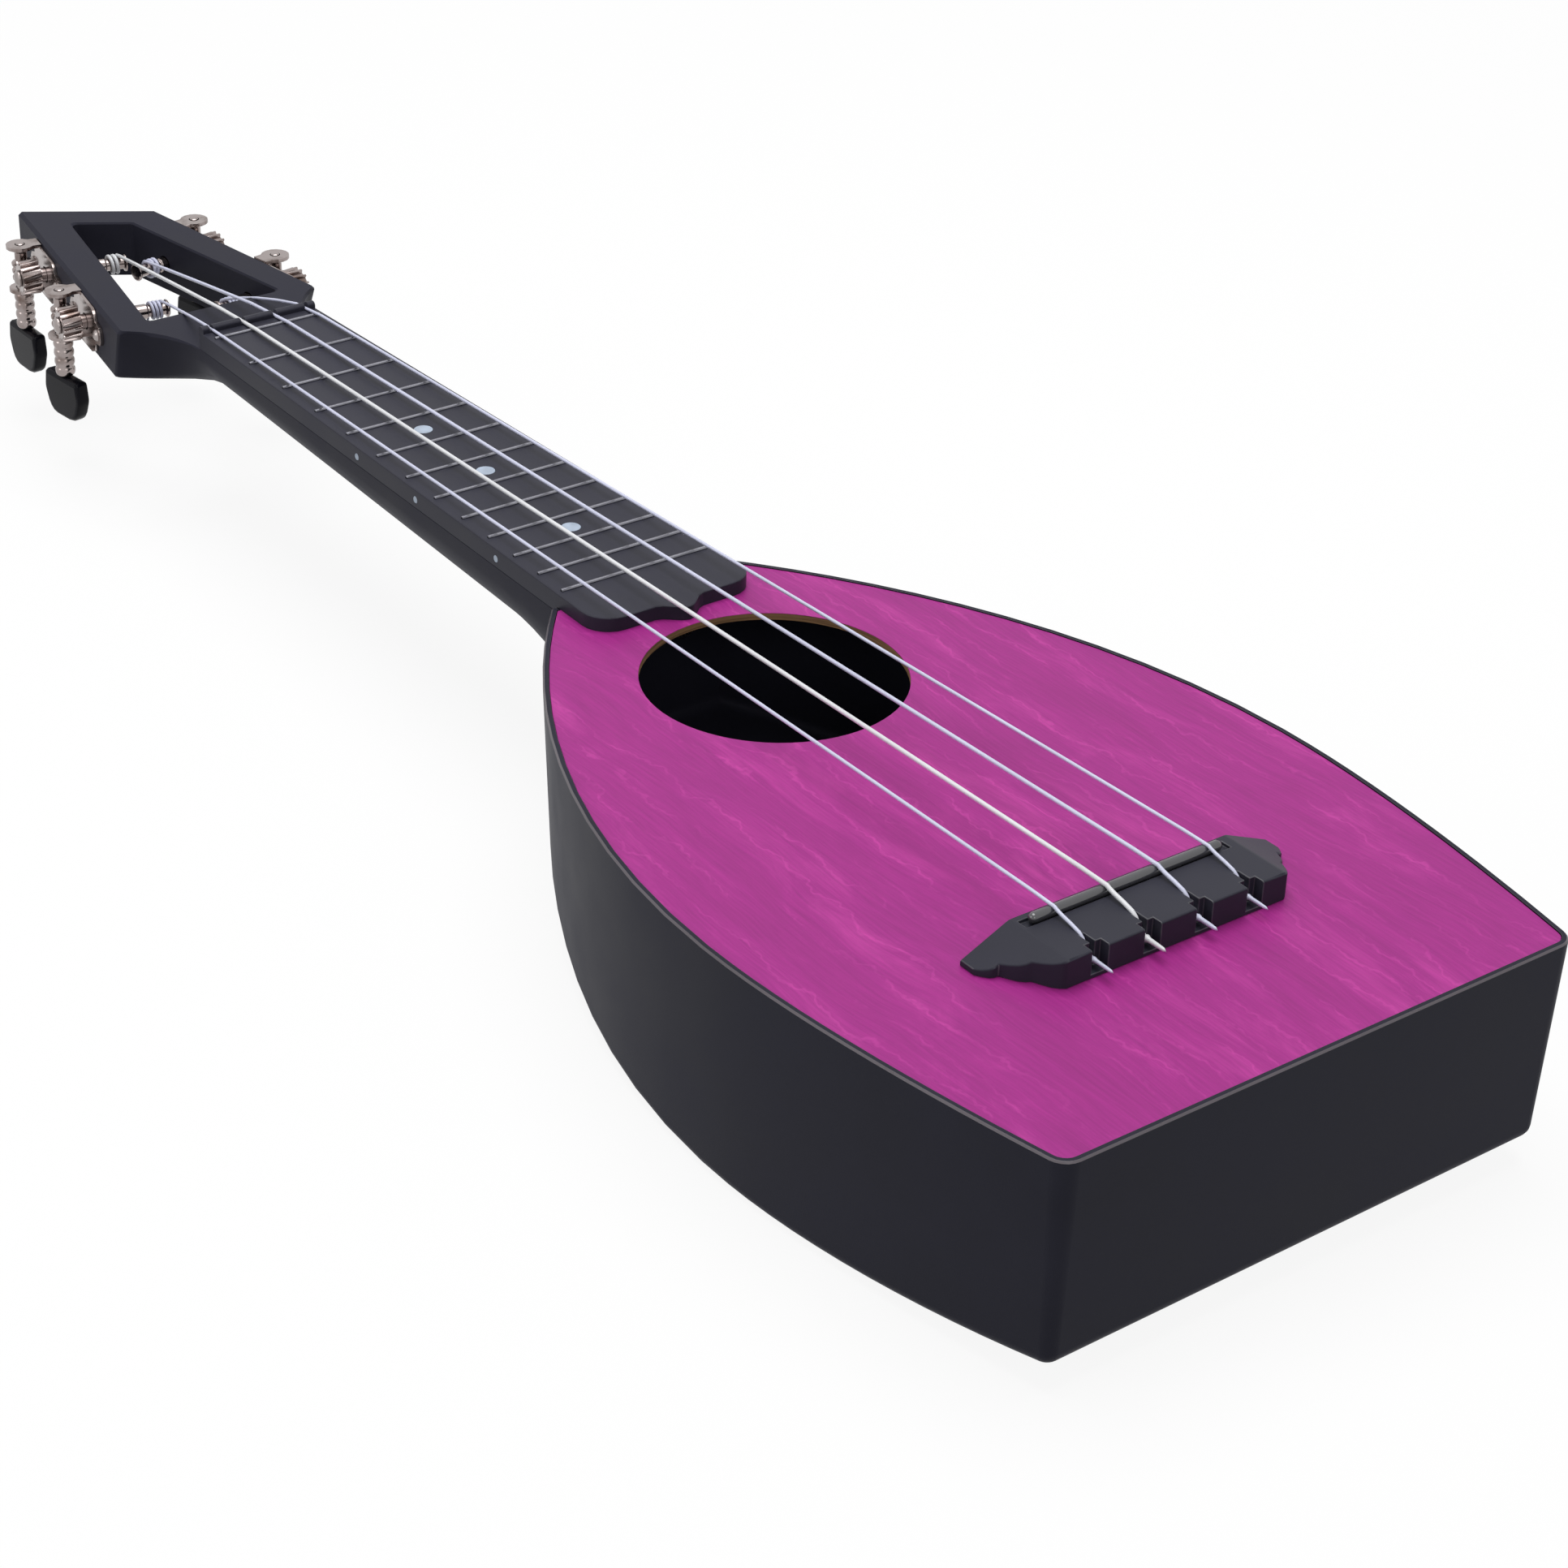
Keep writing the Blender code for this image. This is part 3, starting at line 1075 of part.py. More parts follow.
def build_gear(name, frame):
    """Helical wheel whose teeth follow the worm's thread."""
    axis = post_frame(frame)
    bm = bmesh.new()
    slope = WORM_PITCH / (2 * math.pi * (WORM_AWAY - GEAR_PITCH_RADIUS))
    rings = []
    shape = ((-0.5, GEAR_ROOT), (-0.27, GEAR_ROOT), (-0.12, GEAR_TIP), (0.12, GEAR_TIP), (0.27, GEAR_ROOT))
    for k in range(3):
        along = GEAR_START + GEAR_WIDTH * k / 2
        lead = slope * (along - GEAR_MIDDLE) / GEAR_PITCH_RADIUS
        ring = []
        for tooth in range(GEAR_TEETH):
            for share, radius in shape:
                turn = 2 * math.pi * (tooth + share) / GEAR_TEETH + lead
                ring.append(frame @ Vector((along, radius * math.cos(turn), radius * math.sin(turn))))
        rings.append(ring)
    add_faces(bm, rings)
    gear = finish_object(f"tuner_{name}_gear", bm, NICKEL, frame.translation)
    cut = bmesh.new()
    add_cylinder(cut, GEAR_BORE + 0.0001, GEAR_START - 0.002, GEAR_START + GEAR_WIDTH + 0.002, 12, axis)
    use_boolean(gear, finish_object(f"tuner_{name}_gear_bore", cut, None))


def build_post(name, frame):
    """String post with a shoulder behind the gear and a blind hole for its screw."""
    axis = post_frame(frame)
    shoulder = GEAR_START - 0.0002
    end = GEAR_START + GEAR_WIDTH - 0.0004
    tip, waist_end = -POST_LENGTH[name], -WINDING_INSIDE[name] + WAIST_PAST_WINDING
    profile = [(0, tip), (POST_RADIUS - 0.0002, tip), (POST_RADIUS + POST_COLLAR, tip + 0.0004),
               (POST_RADIUS + POST_COLLAR, tip + 0.0008), (POST_WAIST, tip + 0.0012),
               (POST_WAIST, waist_end - 0.0004), (POST_RADIUS, waist_end), (POST_RADIUS, shoulder - 0.0004),
               (POST_RADIUS - 0.0004, shoulder), (GEAR_BORE, shoulder), (GEAR_BORE, end),
               (0.0011, end), (0.0011, end - 0.003), (0, end - 0.003)]
    bm = bmesh.new()
    add_lathe(bm, profile, 14, axis)
    finish_object(f"tuner_{name}_post", bm, NICKEL, frame.translation)
    face = GEAR_START + GEAR_WIDTH + 0.0001
    screw = [(0, face - 0.003), (0.0009, face - 0.003), (0.0009, face), (0.0024, face),
             (0.0024, face + 0.0006), (0.0015, face + 0.0012), (0, face + 0.0014)]
    bm = bmesh.new()
    add_lathe(bm, screw, 12, axis)
    finish_object(f"tuner_{name}_screw", bm, STEEL, frame.translation)


def main():
    clear_scene()
    frames = tuner_frames()
    build_shell()
    build_soundboard()
    build_top_wood()
    build_neck(frames)
    build_bolts()
    build_fretboard()
    build_frets()
    build_dots()
    build_bridge()
    build_strings(frames)
    for name, frame in frames.items():
        build_plate(name, frame)
        build_worm(name, frame)
        build_button(name, frame)
        build_gear(name, frame)
        build_post(name, frame)


main()
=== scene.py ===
"""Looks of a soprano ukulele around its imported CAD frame: finishes, dressed pieces, studio and camera.

Lengths are in metres and angles in degrees, unless a name or a docstring says otherwise. Colours are linear.
"""

import json
import logging
import math
from dataclasses import dataclass, field
from enum import Enum

import bmesh
import bpy
from mathutils import Euler, Matrix, Vector

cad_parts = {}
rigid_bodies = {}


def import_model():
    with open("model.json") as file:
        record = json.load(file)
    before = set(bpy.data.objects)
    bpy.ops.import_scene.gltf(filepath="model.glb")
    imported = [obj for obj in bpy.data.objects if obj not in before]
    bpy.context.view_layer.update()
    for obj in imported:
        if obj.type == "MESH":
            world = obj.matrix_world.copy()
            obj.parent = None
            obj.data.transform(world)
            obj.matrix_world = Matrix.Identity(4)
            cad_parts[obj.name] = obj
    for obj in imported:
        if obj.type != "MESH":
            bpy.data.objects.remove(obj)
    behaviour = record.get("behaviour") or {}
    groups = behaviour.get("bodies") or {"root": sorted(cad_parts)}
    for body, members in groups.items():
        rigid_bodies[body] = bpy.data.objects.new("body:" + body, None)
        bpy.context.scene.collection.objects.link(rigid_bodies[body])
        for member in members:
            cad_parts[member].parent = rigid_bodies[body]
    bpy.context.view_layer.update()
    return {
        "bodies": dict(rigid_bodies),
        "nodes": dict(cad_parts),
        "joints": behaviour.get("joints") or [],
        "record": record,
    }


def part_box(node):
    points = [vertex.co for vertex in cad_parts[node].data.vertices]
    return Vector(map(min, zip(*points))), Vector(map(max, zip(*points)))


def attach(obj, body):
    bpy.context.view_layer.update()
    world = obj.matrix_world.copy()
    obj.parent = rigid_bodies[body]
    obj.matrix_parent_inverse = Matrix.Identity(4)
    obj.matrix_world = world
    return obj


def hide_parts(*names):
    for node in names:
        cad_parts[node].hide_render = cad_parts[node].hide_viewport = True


log = logging.getLogger("ukulele")

Colour = tuple[float, float, float]
Triple = tuple[float, float, float]
Outline = tuple[tuple[float, float], ...]
Geometry = list[bmesh.types.BMVert | bmesh.types.BMEdge | bmesh.types.BMFace]

STRING_LETTERS = ("g", "c", "e", "a")
BLACK: Colour = (0.0, 0.0, 0.0)
WHITE: Colour = (1.0, 1.0, 1.0)

# Nearly all values of a noise pattern lie between these two
NOISE_LOW = 0.3
NOISE_HIGH = 0.7

# Loose triangles of a CAD node meet within the first gap, and the poles of a turned shape within the second.
# Triangles are one flat area, or one facet of a piece to be rounded, when they bend less than these angles
NODE_GAP = 2e-6
POLE_GAP = 1e-7
FLAT_WITHIN = 0.5
FACET_WITHIN = 20.0
TURNED_SMOOTH_ANGLE = 38.0


class Grain(Enum):
    """Grain of a moulded surface; the value is the strength of its bump."""

    FINE = 0.14
    SATIN = 0.07
    SMOOTH = 0.02


def tint(colour: Colour, share: float) -> Colour:
    """Return a colour made darker or lighter.

    Args:
        colour: The colour to start from.
        share: What each channel is multiplied by, up to full brightness.

    Returns:
        The new colour.
    """
    red, green, blue = (min(channel * share, 1.0) for channel in colour)
    return red, green, blue


class NodeBench:
    """Small helper that adds shader nodes to one material and links them."""

    def __init__(self, name: str) -> None:
        """Start a material that holds a shader and nothing else.

        Args:
            name: Name of the material.
        """
        self.material = bpy.data.materials.new(name)
        self.material.use_nodes = True
        self.tree = self.material.node_tree
        self.shader = self.tree.nodes["Principled BSDF"]

    def add(self, kind: str, inputs: dict | None = None, **settings: object) -> bpy.types.Node:
        """Add one node.

        Args:
            kind: Node type without its ShaderNode prefix.
            inputs: Values or output sockets by input name or number.
            settings: Plain attributes of the node.

        Returns:
            The new node.
        """
        node = self.tree.nodes.new(f"ShaderNode{kind}")
        for key, value in settings.items():
            setattr(node, key, value)
        for key, value in (inputs or {}).items():
            if isinstance(value, bpy.types.NodeSocket):
                self.tree.links.new(value, node.inputs[key])
            else:
                node.inputs[key].default_value = value
        return node

    def plug(self, socket: bpy.types.NodeSocket, name: str) -> None:
        """Link a socket into the shader's named input."""
        self.tree.links.new(socket, self.shader.inputs[name])

    def place(self, stretch: Triple = (1, 1, 1)) -> bpy.types.NodeSocket:
        """Return object coordinates multiplied along each axis."""
        where = self.add("TexCoord").outputs["Object"]
        return self.add("Mapping", {"Vector": where, "Scale": stretch}).outputs["Vector"]

    def noise(self, where: bpy.types.NodeSocket, scale: float, detail: float, roughness: float,
              distortion: float = 0.0) -> bpy.types.NodeSocket:
        """Return the value of a noise pattern.

        Args:
            where: Coordinates that the pattern reads.
            scale: Patches in a metre of those coordinates.
            detail: Number of finer layers.
            roughness: Weight of the finer layers.
            distortion: How far the pattern bends itself.

        Returns:
            The socket with the value.
        """
        node = self.add("TexNoise", {"Vector": where, "Scale": scale, "Detail": detail,
                                     "Roughness": roughness, "Distortion": distortion})
        return node.outputs["Fac"]

    def ramp(self, fac: bpy.types.NodeSocket, stops: list[tuple[float, Colour]]) -> bpy.types.NodeSocket:
        """Turn a value into a colour.

        Args:
            fac: Socket that drives the ramp.
            stops: Positions and their colours, in rising order.

        Returns:
            The ramp's colour socket.
        """
        node = self.add("ValToRGB", {"Fac": fac})
        band = node.color_ramp
        while len(band.elements) < len(stops):
            band.elements.new(0.5)
        for element, (position, colour) in zip(band.elements, stops):
            element.position = position
            element.color = (*colour, 1.0)
        return node.outputs["Color"]

    def spread(self, noise: bpy.types.NodeSocket, low: float, high: float) -> bpy.types.NodeSocket:
        """Stretch a noise pattern between two values.

        Args:
            noise: Value of the pattern.
            low: Result where the pattern is low.
            high: Result where the pattern is high.

        Returns:
            The socket with the result.
        """
        node = self.add("MapRange", {"Value": noise, "From Min": NOISE_LOW, "From Max": NOISE_HIGH,
                                     "To Min": low, "To Max": high})
        return node.outputs["Result"]

    def bump(self, height: bpy.types.NodeSocket, strength: float, distance: float) -> None:
        """Drive the shader's normal with a bump."""
        node = self.add("Bump", {"Height": height, "Strength": strength, "Distance": distance})
        self.plug(node.outputs["Normal"], "Normal")


@dataclass(frozen=True)
class MouldedPlastic:
    """Moulded plastic with a fine spark-eroded grain and faint handling marks."""

    name: str
    colour: Colour
    roughness: float
    grain: Grain
    specular: float
    pit_scale: float = 3200.0
    pit_depth: float = 0.0002
    mark_scale: float = 38.0
    mark_tints: tuple[float, float] = (0.88, 1.12)
    mark_smoother: float = 0.04
    mark_rougher: float = 0.05

    def build(self) -> bpy.types.Material:
        """Build the finish.

        Returns:
            The finished material.
        """
        bench = NodeBench(self.name)
        pits = bench.noise(bench.place(), scale=self.pit_scale, detail=3.0, roughness=0.6)
        marks = bench.noise(bench.place(), scale=self.mark_scale, detail=4.0, roughness=0.55)
        dark, light = (tint(self.colour, share) for share in self.mark_tints)
        bench.plug(bench.ramp(marks, [(NOISE_LOW, dark), (NOISE_HIGH, light)]), "Base Color")
        wear = bench.spread(marks, self.roughness - self.mark_smoother, self.roughness + self.mark_rougher)
        bench.plug(wear, "Roughness")
        bench.shader.inputs["Specular IOR Level"].default_value = self.specular
        bench.bump(pits, self.grain.value, self.pit_depth)
        return bench.material


@dataclass(frozen=True)
class StainedVeneer:
    """Figured veneer under a translucent stain: fibres along the neck, clouds of tone and thin pale veins."""

    name: str = "stained_veneer_look"
    pale: Colour = (0.560, 0.054, 0.352)
    body: Colour = (0.374, 0.023, 0.246)
    deep: Colour = (0.338, 0.021, 0.222)
    roughness: float = 0.47
    specular: float = 0.2
    drift: float = 0.016
    drift_stretch: Triple = (9, 4, 9)
    fibre_stretch: Triple = (260, 9, 40)
    fibre_dark: Colour = (0.86, 0.86, 0.88)
    fibre_light: Colour = (1.10, 1.12, 1.08)
    fibre_strength: float = 0.06
    fibre_depth: float = 0.0002
    figure_stretch: Triple = (62, 15, 40)
    vein_scale: float = 44.0
    vein_bend: float = 6.5
    vein_start: float = 0.955
    vein_strength: Colour = (0.68, 0.68, 0.68)

    def drifted_place(self, bench: NodeBench) -> bpy.types.NodeSocket:
        """Let the coordinates wander a little, so that the figure runs as in grown wood.

        Args:
            bench: The material being built.

        Returns:
            The socket with the coordinates.
        """
        warp = bench.add("TexNoise", {"Vector": bench.place(self.drift_stretch), "Scale": 2.2, "Detail": 3.0,
                                      "Roughness": 0.55})
        middle = (0.5, 0.5, 0.5)
        both_ways = bench.add("VectorMath", {0: warp.outputs["Color"], 1: middle}, operation="SUBTRACT")
        push = bench.add("VectorMath", {0: both_ways.outputs["Vector"], "Scale": self.drift},
                         operation="SCALE")
        moved = bench.add("VectorMath", {0: bench.place(), 1: push.outputs["Vector"]}, operation="ADD")
        return moved.outputs["Vector"]

    def veins(self, bench: NodeBench, where: bpy.types.NodeSocket,
              figure: bpy.types.NodeSocket) -> bpy.types.NodeSocket:
        """Draw thin veins on the crests of a bent wave, and break them where the figure is dark.

        Args:
            bench: The material being built.
            where: Coordinates that the wave reads.
            figure: Value of the figure's clouds.

        Returns:
            The socket with the strength of the veins.
        """
        wave = bench.add("TexWave", {"Vector": where, "Scale": self.vein_scale, "Distortion": self.vein_bend,
                                     "Detail": 4.0, "Detail Scale": 1.1, "Detail Roughness": 0.66},
                         wave_type="BANDS", bands_direction="X")
        crest = bench.ramp(wave.outputs["Fac"], [(0.0, BLACK), (self.vein_start, BLACK), (1.0, WHITE)])
        broken = bench.ramp(figure, [(0.42, BLACK), (0.60, self.vein_strength)])
        return bench.add("Math", {0: crest, 1: broken}, operation="MULTIPLY").outputs["Value"]

    def build(self) -> bpy.types.Material:
        """Build the finish.

        Returns:
            The finished material.
        """
        bench = NodeBench(self.name)
        where = self.drifted_place(bench)
        along = bench.add("Mapping", {"Vector": where, "Scale": self.fibre_stretch}).outputs["Vector"]
        fibre = bench.noise(along, scale=7.0, detail=5.0, roughness=0.66)
        clouds = bench.add("Mapping", {"Vector": where, "Scale": self.figure_stretch}).outputs["Vector"]
        figure = bench.noise(clouds, scale=1.5, detail=6.0, roughness=0.62, distortion=0.55)
        tone = bench.ramp(figure, [(0.30, self.deep), (0.52, self.body), (0.80, self.pale)])
        veins = self.veins(bench, where, figure)
        veined = bench.add("Mix", {"Factor": veins, "A": tone, "B": (*self.pale, 1)}, data_type="RGBA")
        threads = bench.ramp(fibre, [(NOISE_LOW, self.fibre_dark), (NOISE_HIGH, self.fibre_light)])
        grained = bench.add("Mix", {"Factor": 1.0, "A": veined.outputs["Result"], "B": threads},
                            data_type="RGBA", blend_type="MULTIPLY")
        bench.plug(grained.outputs["Result"], "Base Color")
        bench.shader.inputs["Roughness"].default_value = self.roughness
        bench.shader.inputs["Specular IOR Level"].default_value = self.specular
        bench.bump(fibre, self.fibre_strength, self.fibre_depth)
        return bench.material


@dataclass(frozen=True)
class BareWood:
    """Unfinished wood: fibres that run across the body, or layers in height on the ply's cut edge."""

    name: str
    colour: Colour
    stretch: Triple = (40, 320, 320)
    roughness: float = 0.72
    pore_strength: float = 0.2
    pore_depth: float = 0.0003

    def build(self) -> bpy.types.Material:
        """Build the finish.

        Returns:
            The finished material.
        """
        bench = NodeBench(self.name)
        fibre = bench.noise(bench.place(self.stretch), scale=1.0, detail=5.0, roughness=0.6)
        dark, light = tint(self.colour, 0.55), tint(self.colour, 1.3)
        bench.plug(bench.ramp(fibre, [(0.34, dark), (0.52, self.colour), (NOISE_HIGH, light)]), "Base Color")
        bench.shader.inputs["Roughness"].default_value = self.roughness
        bench.bump(fibre, self.pore_strength, self.pore_depth)
        return bench.material


@dataclass(frozen=True)
class PlatedMetal:
    """Plated or polished metal with rubbed patches and hairlines."""

    name: str
    colour: Colour
    roughness: float
    tarnish: Colour
    patch_scale: float = 190.0
    patch_rougher: float = 0.1
    patch_smoother: float = 0.05
    hair_scale: float = 900.0
    hair_stretch: Triple = (1, 1, 7)
    hair_strength: float = 0.03
    hair_depth: float = 0.00003

    def build(self) -> bpy.types.Material:
        """Build the finish.

        Returns:
            The finished material.
        """
        bench = NodeBench(self.name)
        patch = bench.noise(bench.place(), scale=self.patch_scale, detail=3.0, roughness=0.5)
        hair = bench.noise(bench.place(self.hair_stretch), scale=self.hair_scale, detail=2.0, roughness=0.5)
        tone = bench.ramp(patch, [(0.28, self.tarnish), (0.5, self.colour), (0.8, self.colour)])
        bench.plug(tone, "Base Color")
        rub = bench.spread(patch, self.roughness + self.patch_rougher, self.roughness - self.patch_smoother)
        bench.plug(rub, "Roughness")
        bench.shader.inputs["Metallic"].default_value = 1.0
        bench.bump(hair, self.hair_strength, self.hair_depth)
        return bench.material


@dataclass(frozen=True)
class ClearString:
    """Drawn polymer string: slight tint, faint lengthwise streaks, and a share that light passes through."""

    name: str
    colour: Colour
    clear: float
    roughness: float = 0.28
    refraction: float = 1.42
    streak_stretch: Triple = (900, 30, 900)
    streak_strength: float = 0.01
    streak_depth: float = 0.00002

    def build(self) -> bpy.types.Material:
        """Build the finish.

        Returns:
            The finished material.
        """
        bench = NodeBench(self.name)
        streak = bench.noise(bench.place(self.streak_stretch), scale=1.0, detail=3.0, roughness=0.5)
        tone = bench.ramp(streak, [(NOISE_LOW, tint(self.colour, 0.9)), (0.65, self.colour)])
        bench.plug(tone, "Base Color")
        bench.shader.inputs["Roughness"].default_value = self.roughness
        bench.shader.inputs["IOR"].default_value = self.refraction
        bench.shader.inputs["Transmission Weight"].default_value = self.clear
        bench.bump(streak, self.streak_strength, self.streak_depth)
        return bench.material


@dataclass(frozen=True)
class DotPlastic:
    """Pale inlay material with a cloudy, slightly pearly body."""

    name: str = "pale_dot_look"
    colour: Colour = (0.42, 0.50, 0.62)
    roughness: float = 0.32
    cloud_scale: float = 420.0

    def build(self) -> bpy.types.Material:
        """Build the finish.

        Returns:
            The finished material.
        """
        bench = NodeBench(self.name)
        cloud = bench.noise(bench.place(), scale=self.cloud_scale, detail=3.0, roughness=0.5)
        dark, light = tint(self.colour, 0.85), tint(self.colour, 1.15)
        bench.plug(bench.ramp(cloud, [(NOISE_LOW, dark), (NOISE_HIGH, light)]), "Base Color")
        bench.shader.inputs["Roughness"].default_value = self.roughness
        return bench.material


@dataclass
class FinishShelf:
    """Every finish of the instrument, built once and handed out by name."""

    shell: MouldedPlastic = MouldedPlastic(
        "shell_plastic_look", (0.025, 0.025, 0.037), roughness=0.48, grain=Grain.FINE, specular=0.06)
    board: MouldedPlastic = MouldedPlastic(
        "fretboard_plastic_look", (0.029, 0.029, 0.042), roughness=0.45, grain=Grain.SATIN, specular=0.14)
    button: MouldedPlastic = MouldedPlastic(
        "button_plastic_look", (0.007, 0.007, 0.011), roughness=0.20, grain=Grain.SMOOTH, specular=0.09)
    # Polished rim: glossier, and lighter in colour than the shell as a painted highlight
    rim: MouldedPlastic = MouldedPlastic(
        "rubbed_rim_look", (0.078, 0.064, 0.078), roughness=0.28, grain=Grain.SMOOTH, specular=0.7)
    # Eased edges: glossier, and lighter in colour than the plastics as a painted highlight
    edge: MouldedPlastic = MouldedPlastic(
        "polished_edge_painted_highlight_look", (0.050, 0.050, 0.062), roughness=0.36, grain=Grain.SMOOTH, specular=0.4)
    rod: MouldedPlastic = MouldedPlastic(
        "saddle_plastic_look", (0.050, 0.050, 0.057), roughness=0.12, grain=Grain.SMOOTH, specular=1.0)
    veneer: StainedVeneer = StainedVeneer()
    ply_edge: BareWood = BareWood("ply_edge_look", (0.30, 0.165, 0.075), stretch=(60, 60, 2600))
    brace: BareWood = BareWood("brace_wood_look", (0.55, 0.36, 0.18))
    nickel: PlatedMetal = PlatedMetal(
        "nickel_look", (0.34, 0.292, 0.282), roughness=0.15, tarnish=(0.16, 0.118, 0.104))
    steel: PlatedMetal = PlatedMetal(
        "steel_look", (0.36, 0.32, 0.31), roughness=0.28, tarnish=(0.20, 0.17, 0.16))
    fret: PlatedMetal = PlatedMetal(
        "fret_metal_look", (0.20, 0.20, 0.225), roughness=0.34, tarnish=(0.15, 0.15, 0.17))
    dot: DotPlastic = DotPlastic()
    string: ClearString = ClearString("clear_string_look", (0.74, 0.76, 0.95), clear=0.05)
    thick_string: ClearString = ClearString("thick_string_look", (0.86, 0.87, 0.90), clear=0.0)
    made: dict[str, bpy.types.Material] = field(default_factory=dict)

    def get(self, name: str) -> bpy.types.Material:
        """Return the material of a finish, building it the first time.

        Args:
            name: Field name of the finish on this shelf.

        Returns:
            The material.
        """
        if name not in self.made:
            self.made[name] = getattr(self, name).build()
        return self.made[name]


def put_in_place(bm: bmesh.types.BMesh, place: Matrix) -> bmesh.types.BMesh:
    """Move a closed mesh to its place and turn its faces outwards.

    Args:
        bm: The mesh, around the origin.
        place: Where it goes.

    Returns:
        The same mesh.
    """
    bmesh.ops.transform(bm, matrix=place, verts=bm.verts)
    bmesh.ops.recalc_face_normals(bm, faces=bm.faces)
    return bm


def settle_piece(bm: bmesh.types.BMesh, name: str, node: str, body: str,
                 looks: list[bpy.types.Material], smooth_angle: float) -> bpy.types.Object:
    """Make an object of a finished mesh, smooth it and let it stand for its CAD node.

    Args:
        bm: The mesh, which is freed here.
        name: Name of the piece.
        node: CAD node that the piece stands for, or an empty name for a piece that is added.
        body: Body that it rides on.
        looks: Its materials, in the order of its faces' numbers.
        smooth_angle: Edges sharper than this stay sharp.

    Returns:
        The piece.
    """
    mesh = bpy.data.meshes.new(name)
    bm.to_mesh(mesh)
    bm.free()
    mesh.shade_smooth()
    mesh.set_sharp_from_angle(angle=math.radians(smooth_angle))
    for look in looks:
        mesh.materials.append(look)
    piece = bpy.data.objects.new(name, mesh)
    bpy.context.scene.collection.objects.link(piece)
    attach(piece, body)
    if node:
        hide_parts(node)
    return piece


@dataclass(frozen=True)
class NodeSkin:
    """A dressed piece made from a CAD node's shape, with its hard edges eased or its facets rounded.

    The eased edges take a second finish, where one is named: glossier, and lighter in colour as a painted
    highlight.
    A swell rounds the facets instead, and moves the surface out by that much so that the piece keeps its
    thickness.
    """

    node: str
    name: str
    body: str
    slot: str
    finish: str
    ease: float = 0.0
    segments: int = 2
    edge_angle: float = 40.0
    smooth_angle: float = 32.0
    edge_polish_and_painted_highlight: str = ""
    swell: float = 0.0

    def shape(self, source: bpy.types.Object) -> bmesh.types.BMesh:
        """Merge the node's triangles, make its flat areas whole and ease its hard edges.

        Args:
            source: The CAD node's object.

        Returns:
            The mesh of the piece.
        """
        bm = bmesh.new()
        bm.from_mesh(source.data)
        bmesh.ops.remove_doubles(bm, verts=bm.verts, dist=NODE_GAP)
        if self.swell:
            bmesh.ops.join_triangles(bm, faces=bm.faces, angle_face_threshold=math.radians(FACET_WITHIN),
                                     angle_shape_threshold=math.pi)
            return bm
        bmesh.ops.dissolve_limit(bm, angle_limit=math.radians(FLAT_WITHIN), use_dissolve_boundaries=False,
                                 verts=bm.verts, edges=bm.edges, delimit=set())
        if self.ease:
            limit = math.radians(self.edge_angle)
            hard = [edge for edge in bm.edges
                    if len(edge.link_faces) == 2 and edge.calc_face_angle(0) > limit]
            eased = bmesh.ops.bevel(bm, geom=hard, offset=self.ease, offset_type="OFFSET",
                                    segments=self.segments, profile=0.5, affect="EDGES", clamp_overlap=True,
                                    material=-1)
            # The faces made by the bevel take the lighter second finish, a painted highlight along the hard
            # edges
            for face in eased["faces"] if self.edge_polish_and_painted_highlight else []:
                face.material_index = 1
        return bm

    def dress(self, frame: dict, shelf: FinishShelf) -> bpy.types.Object:
        """Build the piece, give it its finish and let it stand for the node.

        Args:
            shelf: Where finishes come from.

        Returns:
            The finished piece.
        """
        looks = [shelf.get(name) for name in (self.finish, self.edge_polish_and_painted_highlight) if name]
        mesh = self.shape(frame["nodes"][self.node])
        piece = settle_piece(mesh, self.name, self.node, self.body, looks, self.smooth_angle)
        if self.swell:
            rounded = piece.modifiers.new("rounded", "SUBSURF")
            rounded.levels = rounded.render_levels = 1
            full = piece.modifiers.new("full_width", "DISPLACE")
            full.mid_level, full.strength = 0.0, self.swell
        else:
            weighted = piece.modifiers.new("even_normals", "WEIGHTED_NORMAL")
            weighted.keep_sharp = True
        return piece


